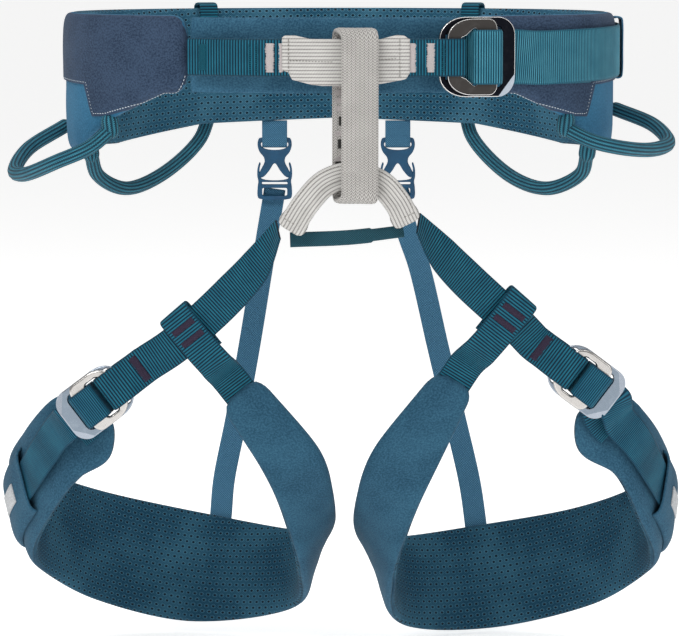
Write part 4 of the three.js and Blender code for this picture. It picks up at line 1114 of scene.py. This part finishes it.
def make_belay_loop():
    strip = Strip(belay_path(), (1, 0, 0), 10, 3.8, step=0.8, closed=True)

    def columns(s, a):
        edge = ease(np.abs(a), 8.2, 8.5) * ease(-np.abs(a), -9.1, -8.8)
        return 0.14 * (1 - np.abs(np.sin(math.pi * a / 2.3))) + 0.2 * edge

    obj = strip.mesh("belay_loop_webbing", columns=25, edge=8, groove=columns)
    dress(obj, "belay_loop", "belay", BELAY, "belay_loop")
    back = strip.p[:, 1] > -118
    order = np.argsort(-strip.p[back, 2])
    where = lambda z: np.interp(-np.asarray(z, float), -strip.p[back, 2][order], strip.s[back][order])
    face = 1 if strip.n[back][0, 1] < 0 else -1
    place = lambda s, a: strip.at(np.asarray(s, float), np.asarray(a, float), face, 0.05)

    def rungs(z0, z1, a0, a1, spacing):
        z = np.arange(z0, z1, -spacing)
        s = where(z)
        p0, n0 = place(s, np.full_like(s, a0))
        p1, _ = place(s, np.full_like(s, a1))
        return p0, p1, n0

    sign = 1 if strip.w[back][0, 0] > 0 else -1
    pale = [rungs(-14 - 4.4 * k, -16.6 - 4.4 * k, -8.6 * sign, 1 * sign, 0.62) for k in range(4)]
    pale += [rungs(-41 - 4.6 * k, -43.4 - 4.6 * k, -8.6 * sign, 1 * sign, 0.62) for k in (0, 3, 4)]
    sew("belay_ladder_tacks", pale, 0.26, "belay_loop", "belay", TACK_YARN)
    blocks = ((-33, -37.8, -6.5, -1.2), (-45.4, -50.4, -7, -1.2), (-57.5, -58.6, -8.6, 1))
    dark = [rungs(z0, z1, a0 * sign, a1 * sign, 0.5) for z0, z1, a0, a1 in blocks]
    sew("belay_dark_tacks", dark, 0.27, "belay_loop", "belay", BLACK_YARN)


def make_cross_strap():
    points = catmull([(-27, -113.5, -100.2), (6, -113.5, -98.8), (35, -113.5, -95.4)], np.linspace(0, 2, 9))
    strip = Strip(points, (0, 0, 1), 4.1, 2.4, step=0.42)
    wide = [(0, 4.1), (44, 4.1), (45, 3.4), (70, 3.3)]
    obj = strip.mesh("leg_loop_bridge_strap", ribs=0.15, pitch=1.1, columns=13, edge=7, wide=wide)
    dress(obj, "waist", "webbing", DARK_BRAID, "cross_strap")


DARK_BRAID = braid("dark_braid", rgb(2, 22, 34), rgb(20, 70, 86), rgb(56, 120, 134), 1.1)
CORD = braid("cord_sheath", rgb(0, 24, 40), rgb(8, 78, 104), rgb(80, 168, 190), 1.2, cord=2.0)
CLIP = plastic("clip_plastic", rgb(4, 48, 78), rgb(18, 88, 126))


# ---------------------------------------------------------------- gear loops
GEAR_LOOPS = {
    "front_left": ((-62, -4.5, -42.6), [(-139, -70, -52), (-157, -67, -60), (-178, -40, -69),
                                        (-186, -16, -68), (-180, 8, -57)],
                   (-99, 6.2, -45)),
    "front_right": ((61, -4.5, -41.6), [(139, -71, -48), (154, -67, -52), (177, -40, -55), (188, -17, -52),
                                        (181, 7, -43)],
                    (98, 6.2, -35)),
    "rear_left": ((-104.5, -4.5, -62), [(-143, 49, -75), (-128, 65, -84), (-107, 86, -77),
                                        (-85, 104.5, -57)],
                  (-143.5, 6.6, -41)),
    "rear_right": ((105, -4.5, -62), [(143, 49, -74), (125, 65, -84), (103, 87, -78), (81, 106.5, -56)],
                   (144.5, 6.6, -41)),
}
CORD_R, ROOT_R, CORD_RIDGES = 4.2, 5.0, 12


def tube(name, path, radius):
    """Round cord with lengthwise ridges and domed ends."""
    dense = catmull(path, np.linspace(0, len(path) - 1, 600))
    run = run_length(dense)
    p = sample(np.linspace(0, run[-1], int(run[-1] / 0.6)), run, dense)
    t = unit(np.gradient(p, axis=0))
    w = np.array([0.0, 0.0, 1.0])
    ws = []
    for tangent in t:
        w = unit(w - tangent * (w @ tangent))
        ws.append(w)
    w = np.array(ws)
    n = np.cross(t, w)
    dome = np.array([(0.97, 0.24), (0.85, 0.53), (0.62, 0.78), (0.3, 0.95)])
    size = np.concatenate([dome[:, 1], np.ones(len(p)), dome[::-1, 1]])
    p = np.vstack([p[0] - t[0] * dome[:, :1] * radius, p, (p[-1] + t[-1] * dome[:, :1] * radius)[::-1]])
    t, w, n = (np.vstack([np.repeat(x[:1], 4, 0), x, np.repeat(x[-1:], 4, 0)]) for x in (t, w, n))
    sides = 6 * CORD_RIDGES
    turn = np.arange(sides) / sides * 2 * math.pi
    ridge = 1 - 0.09 * (1 - np.abs(np.cos(turn * CORD_RIDGES / 2)) ** 0.6)
    r = radius * size[:, None] * ridge[None]
    rings = p[:, None] + w[:, None] * (r * np.cos(turn))[..., None] + n[:, None] * (r * np.sin(turn))[...,
                                                                                                      None]
    uv = np.broadcast_arrays(run_length(p)[:, None], np.linspace(0, 24.0, sides + 1)[None])
    return loft(name, rings, np.stack(uv, axis=-1))


def make_gear_loops():
    for name, (start, by, stop) in GEAR_LOOPS.items():
        path = np.array([belt_at(*start), *by, belt_at(*stop)])
        obj = tube(f"gear_cord_{name}", path, CORD_R)
        dress(obj, f"gear_loop_{name}", "cord", CORD, f"gear_loop_{name}")
        if name.startswith("rear"):
            continue
        deg = stop[0] + np.linspace(-2.6, 2.6, 9)
        z = stop[2] + np.linspace(-9, 12, 21)
        a, b = np.meshgrid(z, deg)
        thick = 0.3 + 0.9 * np.maximum(1 - np.abs(np.linspace(-1, 1, 21)) ** 12, 0) ** 0.5
        outer, _ = belt_skin(b, a, thick[None] + 0 * a)
        inner, _ = belt_skin(b, a, 0.1 + 0 * a)
        tab = sheet(f"gear_anchor_{name}", outer, inner, a, belt_arc(np.abs(deg))[:, None] % 12 - 6)
        dress(tab, "waist", "webbing", WEB20, f"gear_tab_{name}")


def make_gear_roots():
    """Sewn sleeves that join the ends of the gear loops to the belt."""
    for name, (start, _, stop) in GEAR_LOOPS.items():
        ends = {"fore": (start, (start[0], -3.7, start[2] + 5))}
        if name.startswith("rear"):
            ends["aft"] = (stop, (stop[0], 1.5, stop[2] + 8))
        for part, (tip, root) in ends.items():
            root, tip = belt_at(*root), belt_at(*tip)
            path = np.array([root, (root + tip) / 2, tip])
            dress(tube(f"gear_root_{name}_{part}", path, ROOT_R), "waist", "cord", CORD)


def make_rear_tabs():
    for side, label in ((-1, "left"), (1, "right")):
        p, t, n = belt_frame(np.array(side * 141.0))
        path = [(-10.1, 12), (-10.1, 22.5), (-9, 24.6), (-4.5, 25.4), (0, 24.6), (1.2, 22.5), (1.2, 12)]
        points = np.array([p + n * off + np.array([0, 0, z]) for off, z in path])
        strip = Strip(points, t, 5.6, 1.4)
        dress(strip.mesh(f"rear_top_tab_{label}", ribs=0.2), "waist", "webbing", WEB20, f"rear_tab_{label}")


# ---------------------------------------------------------------- leg loops
PAD_LEFT = dict(
    top=[(-46, -82, -179), (-11, -74, -222), (-2, -46, -250), (-3, 8, -280), (-22, 48, -288),
         (-80, 66, -280),
         (-138, 52, -265), (-170, 28, -252), (-193, -4, -239), (-182, -40, -216), (-166, -62, -197),
         (-158, -67, -192), (-149, -72, -187)],
    low=[(-66, -82, -197), (-44, -78, -232), (-30, -62, -262), (-19, -30, -300), (-26, 34, -333),
         (-91, 62, -345),
         (-149, 52, -329), (-177, 22, -308), (-182, -10, -293), (-169, -44, -266), (-149, -66, -240),
         (-132, -72, -229), (-123, -76, -212)])
PAD_RIGHT = dict(
    top=[(54, -82, -176), (19, -74, -222), (8, -46, -253), (9, 8, -283), (31, 48, -292), (84, 66, -287),
         (141, 52, -274), (175, 28, -259), (193, -4, -241), (185, -40, -217), (172, -62, -200),
         (164, -67, -193), (156, -72, -186)],
    low=[(75, -82, -188), (57, -78, -227), (38, -62, -268), (27, -30, -306), (36, 34, -343), (92, 62, -349),
         (154, 52, -332), (182, 22, -310), (187, -10, -295), (176, -44, -269), (158, -66, -238),
         (137, -72, -225), (129, -76, -206)])
LEGS = {
    "left": dict(side=-1, pad=PAD_LEFT, centre=(-92, -6, -250), pull=(-0.8, 0, -0.6),
                 buckle=(-121.2, -86, -182),
                 strap=[(-33.4, -118.5, -94, 1.2, -9.3, -4.5), (-46, -110.5, -115, 6, -5, -7),
                        (-60, -102, -131, 7, -2, -7.3),
                        (-74, -96, -145, 7.3, 0, -7.5), (-92, -91, -161, 6.8, 0, -8)],
                 joint=(-83, -93.5, -153), branch=(0.63, 0, -0.777), riser=-39.5, seam=0.405,
                 tail=[(0.89, 10.8, 6.4), (0.86, 7.6, 5), (0.83, 4.9, 3.2), (0.8, 3.3, 1.6),
                       (0.77, 2.6, 0.5),
                       (0.74, 2.4, 0), (0.7, 2.4, 0), (0.66, 2.4, 0)],
                 elastic=[(-40.5, 114, -94), (-44, 108.5, -115), (-48, 105, -140), (-55, 98, -183),
                          (-63, 89, -227), (-70, 80, -262)]),
    "right": dict(side=1, pad=PAD_RIGHT, centre=(97, -6, -250), pull=(0.8, 0, -0.6),
                  buckle=(122.4, -86, -170.5),
                  strap=[(42.8, -118.5, -90.5, -1.2, -9.3, -4.5), (57, -110.5, -109, -6, -5, -7),
                         (70, -102, -123, -7, -2, -7.3),
                         (83, -96, -135.5, -7.3, 0, -7.5), (100, -91, -151, -6.8, 0, -8)],
                  joint=(93, -93.5, -144.5), branch=(-0.62, 0, -0.785), riser=35.5, seam=0.414,
                  tail=[(0.95, 8.6, 8.2), (0.915, 6.7, 6.6), (0.88, 4.8, 4.8), (0.85, 3.5, 3),
                        (0.82, 2.7, 1.4),
                        (0.79, 2.4, 0.4), (0.75, 2.4, 0), (0.7, 2.4, 0), (0.66, 2.4, 0)],
                  elastic=[(37, 114, -93), (41, 108.5, -112), (48.5, 105, -134), (60, 98, -183),
                           (70, 89, -225), (79, 80, -264)]),
}
# In these webbings the first colour also gives painted shade in the rib grooves and the last a painted
# highlight on the rib crests.
WEB_LEG = webbing("webbing_leg", LEG_WEB_HALF, *TEAL, RIB)
WEB_BRANCH = webbing("webbing_branch", BRANCH_HALF, *TEAL, RIB)
WEB_TAIL = webbing("webbing_tail", WEB20_HALF, rgb(0, 36, 56), rgb(6, 72, 98), rgb(60, 146, 168), 1.15)
LABEL = cloth("label_weave", rgb(150, 153, 156), rgb(206, 208, 210), pitch=0.4, depth=0.00005, sheen=0.1)


def leg_pad(leg):
    """The leg's padding, along u from its inner front end round the back."""
    u = np.linspace(0, 1, 240)
    edge = {k: lambda x, k=k: catmull(leg["pad"][k], np.clip(x, 0, 1) * 12) for k in ("top", "low")}
    middle = lambda x: (edge["top"](x) + edge["low"](x)) / 2
    w = edge["top"](u) - edge["low"](u)
    half = np.linalg.norm(w, axis=1) / 2
    w = unit(w)
    t = unit(middle(np.minimum(u + 0.01, 1)) - middle(np.maximum(u - 0.01, 0)))
    n = unit(np.cross(t, w))
    p = middle(u)
    n *= np.sign(np.sum(n * (p - np.array(leg["centre"])), axis=1))[:, None]
    pad = Pad(p, w, n, half, PAD_THICK, (10, 16), 0.4, 11.0 + leg["side"])
    pad.u = u
    return pad


def on_pad(pad, u, across, lift):
    """Point and normal on a pad's skin at u along it, across millimetres from its middle."""
    u = np.asarray(u, float)
    s = np.interp(u, pad.u, pad.s)
    half = np.interp(u, pad.u, pad.half) * (1 - (1 - np.interp(s, pad.s, pad.full)) * 0.55)
    return pad.place(s, np.clip(np.asarray(across, float) / half, -1, 1), 1, lift)


def make_leg(label, leg):
    body = f"leg_{label}"
    pad = leg_pad(leg)
    shell = pad.skin(f"leg_outer_fabric_{label}", 1)
    dress(shell, body, "fabric", NAVY, f"leg_shell_{label}", f"leg_foam_{label}")
    lining = pad.skin(f"leg_spacer_lining_{label}", -1)
    dress(lining, body, "mesh", LEG_MESH, f"leg_lining_{label}")

    axes = Axes(leg["buckle"], leg["pull"], (0, -1, 0))
    make_leg_buckle(label, axes)
    upper = np.array([row[:3] for row in leg["strap"]], float)
    upper_w = np.array([row[3:] for row in leg["strap"]], float)
    across = axes.c * (1 if axes.c @ upper_w[4] > 0 else -1)
    eye = np.array([axes.at(s, h) for s, h in [(-17, 0.1), (-11, 0.3), *EYE_OVER, *EYE_UNDER]])
    strap_w = np.vstack([upper_w, np.repeat(across[None], len(eye), 0)])
    strap = Strip(np.vstack([upper, eye]), strap_w, LEG_WEB_HALF, WEB_T)
    dress(strap.mesh(f"leg_strap_webbing_{label}", ribs=0.34), body, "webbing", WEB_LEG,
          f"leg_strap_{label}")
    face = 1 if strip_side(strap, 60) < 0 else -1
    place = lambda s, a: strap.at(np.asarray(s, float), np.asarray(a, float), face, 0.05)
    far = nearest(strap, axes.at(-13, 1))
    runs = [tack_of(place, (far - 2.4, far + 2.4), (-7.6, 7.6))]
    sew(f"leg_strap_tack_{label}", runs, 0.27, body, "webbing", PURPLE_YARN)

    run = unit(upper[4] - upper[3])
    branch = np.array(leg["branch"], float)
    out = unit(np.cross(branch, run))
    out = -out if out[1] > 0 else out
    joint = np.array(leg["joint"], float)
    turn = [(16, -2.6), (8, -2.6), (-11.6, -2.6), (-13.5, -1.7), (-14.2, 0), (-13.5, 1.7), (-11.6, 2.6),
            (6, 2.6), (13, 2.4), (24, 0.4)]
    first = np.array([joint + branch * b + out * h for b, h in turn])
    t0 = unit(pad.p[2] - pad.p[0])
    reach = np.array([pad.p[0] + t0 * a + pad.n[0] * b for a, b in ((-11, -2.2), (-0.6, -4.2), (6, -4.4))])
    end_w = pad.w[0] * (1 if pad.w[0] @ run > 0 else -1)
    band_w = np.vstack([np.repeat(run[None], len(first), 0), np.repeat(end_w[None], len(reach), 0)])
    band = Strip(np.vstack([first, reach]), band_w, BRANCH_HALF, WEB_T)
    dress(band.mesh(f"leg_branch_webbing_{label}", ribs=0.34), body, "webbing", WEB_BRANCH,
          f"leg_branch_{label}")
    face = 1 if strip_side(band, nearest(band, joint + out * 2.6)) < 0 else -1
    place = lambda s, a: band.at(np.asarray(s, float), np.asarray(a, float), face, 0.05)
    at = lambda b: nearest(band, joint + branch * b + out * 2.6)
    tacks = [tack_of(place, (at(b) - 1.9, at(b) + 1.9), (-7.2, 7.2)) for b in (-4.6, 3.6)]
    sew(f"leg_branch_tacks_{label}", tacks, 0.28, body, "webbing", PURPLE_YARN)

    sign = 1 if pad.w[int(0.9 * len(pad.u))] @ axes.c > 0 else -1
    rows = [wing_row(pad, u, off, sign) for u, off in ((0.9, 1.6), (0.94, 1.7), (0.975, 2.4))]
    rows += [(axes.at(s, h), axes.c) for s, h in [(26, -6.6), *adjust_path(LEG_BUCKLE, 39)]]
    rows += [wing_row(pad, u, off, sign, across) for u, off, across in leg["tail"]]
    tail = Strip([r[0] for r in rows], [r[1] for r in rows], WEB20_HALF, 1.5, step=0.36)
    mesh = tail.mesh(f"leg_adjusting_strap_{label}", ribs=0.2, pitch=1.2)
    dress(mesh, body, "webbing", WEB_TAIL, f"leg_adjust_{label}")
    make_pocket(label, body, pad)
    make_riser(label, leg, pad)


def nearest(strip, point):
    return float(strip.s[np.argmin(np.linalg.norm(strip.p - np.asarray(point), axis=1))])


def strip_side(strip, s):
    """Y part of the strap's normal at length s."""
    return float(np.interp(s, strip.s, strip.n[:, 1]))


def wing_row(pad, u, off, sign, across=0.0):
    """Point off a pad's outer face at u, and the direction across a strap there."""
    p, n, w = (sample(u, pad.u, rows) for rows in (pad.p, pad.n, pad.w))
    n, w = unit(n), unit(w)
    return p + n * off + w * across, w * sign


def pad_sheet(name, pad, u, across, inner_across, lift, low):
    """A closed sheet over a pad, between the heights low and lift."""
    flat = 0 * lift
    outer, _ = on_pad(pad, u[:, None] + flat, across[None] + flat, lift)
    inner, _ = on_pad(pad, u[:, None] + flat, inner_across[None] + flat, low)
    return sheet(name, outer, inner, np.interp(u, pad.u, pad.s)[:, None], across[None])


POCKET_HALF, TAG_HALF, TAG_LIFT = 19, 5.4, 6.1


def make_pocket(label, body, pad):
    """Fabric pocket for the strap's tail, and its small plain label."""
    u = np.linspace(0.742, 0.625, 40)
    across = crowd(np.linspace(-1, 1, 31))
    rise = 0.4 + 4.9 * np.maximum(1 - np.abs(across) ** 6, 0) ** 0.6
    lift = rise[None] * (1 - 0.75 * ease(-u, -0.64, -0.625))[:, None]
    obj = pad_sheet(f"leg_tail_pocket_{label}", pad, u, across * POCKET_HALF, across * (POCKET_HALF - 0.8),
                    lift, np.maximum(lift - 1.0, 0.15))
    dress(obj, body, "fabric", NAVY, f"leg_pocket_{label}")
    across = np.linspace(-TAG_HALF, TAG_HALF, 9)
    lift = np.full((13, 9), TAG_LIFT)
    tag = pad_sheet(f"leg_plain_label_{label}", pad, np.linspace(0.716, 0.68, 13), across, across, lift,
                    lift - 1.0)
    dress(tag, body, "label", LABEL, f"leg_label_{label}")


def make_leg_buckle(label, axes):
    m = axes.matrix()
    hole = rounded(9.6, 17.4, 11.2, (1.6, 1.6), (1.6, 1.6), 4)
    ring = plate(f"leg_buckle_ring_plate_{label}", rounded(2.4, 27.4, 15.4, (11, 8.5), (5, 5)), [hole], m,
                 RING_LOW, 1.4, 1.2,
                 (SILVER, SILVER), 3)
    dress(ring, f"leg_buckle_{label}_frame", "silver", None, f"leg_buckle_{label}_ring")
    opening = rounded(1.7, 30.6, 11.6, (1.6, 1.6), (3.4, 3.4), 5)
    body = plate(f"leg_buckle_outer_frame_{label}", rounded(-1.7, 38.6, 15.4, (12, 9), (8, 8)), [opening],
                 m, *FRAME_LEVEL, 0.6,
                 (SLATE, FACET, FACET), facets=[(30, -15, -40, 28), (30, 15, 40, 28)])
    dress(body, f"leg_buckle_{label}_frame", "slate", None, f"leg_buckle_{label}_frame")


# ---------------------------------------------------------------- rear risers
def make_riser(label, leg, pad):
    x = leg["riser"]
    path = [(113.8, -45.8), (113.8, -57), (113, -60.4), (111, -61.6), (109, -60.4), (108.2, -57),
            (108.2, -45.8)]
    tab = Strip([(x, y, z) for y, z in path], (1, 0, 0), 7.6, 1.3)
    dress(tab.mesh(f"riser_elastic_tab_{label}", ribs=0.3, pitch=1.5), "waist", "elastic", ELASTIC,
          f"riser_tab_{label}")
    back = Matrix(((MM, 0, 0, x * MM), (0, 0, -MM, 111 * MM), (0, MM, 0, 0), (0, 0, 0, 1)))
    hook = mirrored([(-10, -57.5), (-10.4, -61), (-9.2, -64.8), (-6.6, -68.2), (-6.2, -71), (-8.2, -75.2),
                     (-9.6, -78.6), (-8.8, -80.4), (-6.8, -80.0), (-3.4, -76.4), (0, -71.8)])
    hook = smooth_loop(hook + [(9, -56.3), (-9, -56.3)])
    slot = smooth_loop(mirrored([(-8, -59.2), (-8.2, -61), (-6, -62.8), (0, -63.7)]))
    part = plate(f"riser_clip_hook_{label}", hook, [slot], back, -1.7, 1.7, 0.5, (CLIP, CLIP))
    dress(part, "waist", "clip", None, f"riser_hook_{label}")
    socket = mirrored([(-10.3, -92.4), (-10.4, -86), (-10, -82.8), (-10.6, -79.6), (-10.4, -74.6),
                       (-9.2, -71.2), (-8.6, -71.8), (-9.2, -75.2), (-8.9, -79.4), (-7.6, -81.4)])
    socket = smooth_loop(socket + [(9, -93.5), (-9, -93.5)])
    slots = [rounded(-84.6, -83.2, 7.8, (0.5, 0.5), (0.5, 0.5), 3),
             rounded(-91.6, -86.8, 7.6, (0.9, 0.9), (0.9, 0.9), 3)]
    slots = [[(b, a) for a, b in loop] for loop in slots]
    clip = plate(f"riser_clip_socket_{label}", socket, slots, back, -2.1, 2.1, 0.5, (CLIP, CLIP))
    dress(clip, "waist", "clip", None, f"riser_clip_{label}")
    half = np.interp(leg["seam"], pad.u, pad.half)
    foot = [on_pad(pad, leg["seam"], k * half, lift)[0] for k,
            lift in ((0.96, 2.6), (0.7, 1.2), (0.4, 1.2))]
    points = [(x, 112.2, -87.6), *leg["elastic"], *foot]
    strap = Strip(points, (1, 0, 0), 6.6, 1.4, step=0.8)
    obj = strap.mesh(f"riser_elastic_strap_{label}", columns=11, edge=10)
    obj.data.materials.append(ELASTIC)
    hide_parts(f"riser_elastic_{label}")
    start, end = (Vector(leg["elastic"][k]) * MM for k in (0, -1))
    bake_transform(obj)


def smooth_loop(points):
    """Closed outline through points, softened."""
    p = np.array(points + points[:3], float)
    p = np.column_stack([p, np.zeros(len(p))])
    where = np.arange(5 * len(points)) / 5 + 1
    return [tuple(q[:2]) for q in catmull(p, where)]


# ---------------------------------------------------------------- the whole object
make_camera()
make_stage()
make_belt()
make_tongue()
make_panel("wing_panel_left", -1, 39.5, 0.4, "waist_panel_left")
make_panel("wing_panel_right", 1, 44, 4.0, "waist_panel_right")
make_waist_buckle()
make_front_webbing()
make_waist_strap()
make_sleeve()
make_arch()
make_belay_loop()
make_cross_strap()
make_gear_loops()
make_gear_roots()
make_rear_tabs()
for label, leg in LEGS.items():
    make_leg(label, leg)
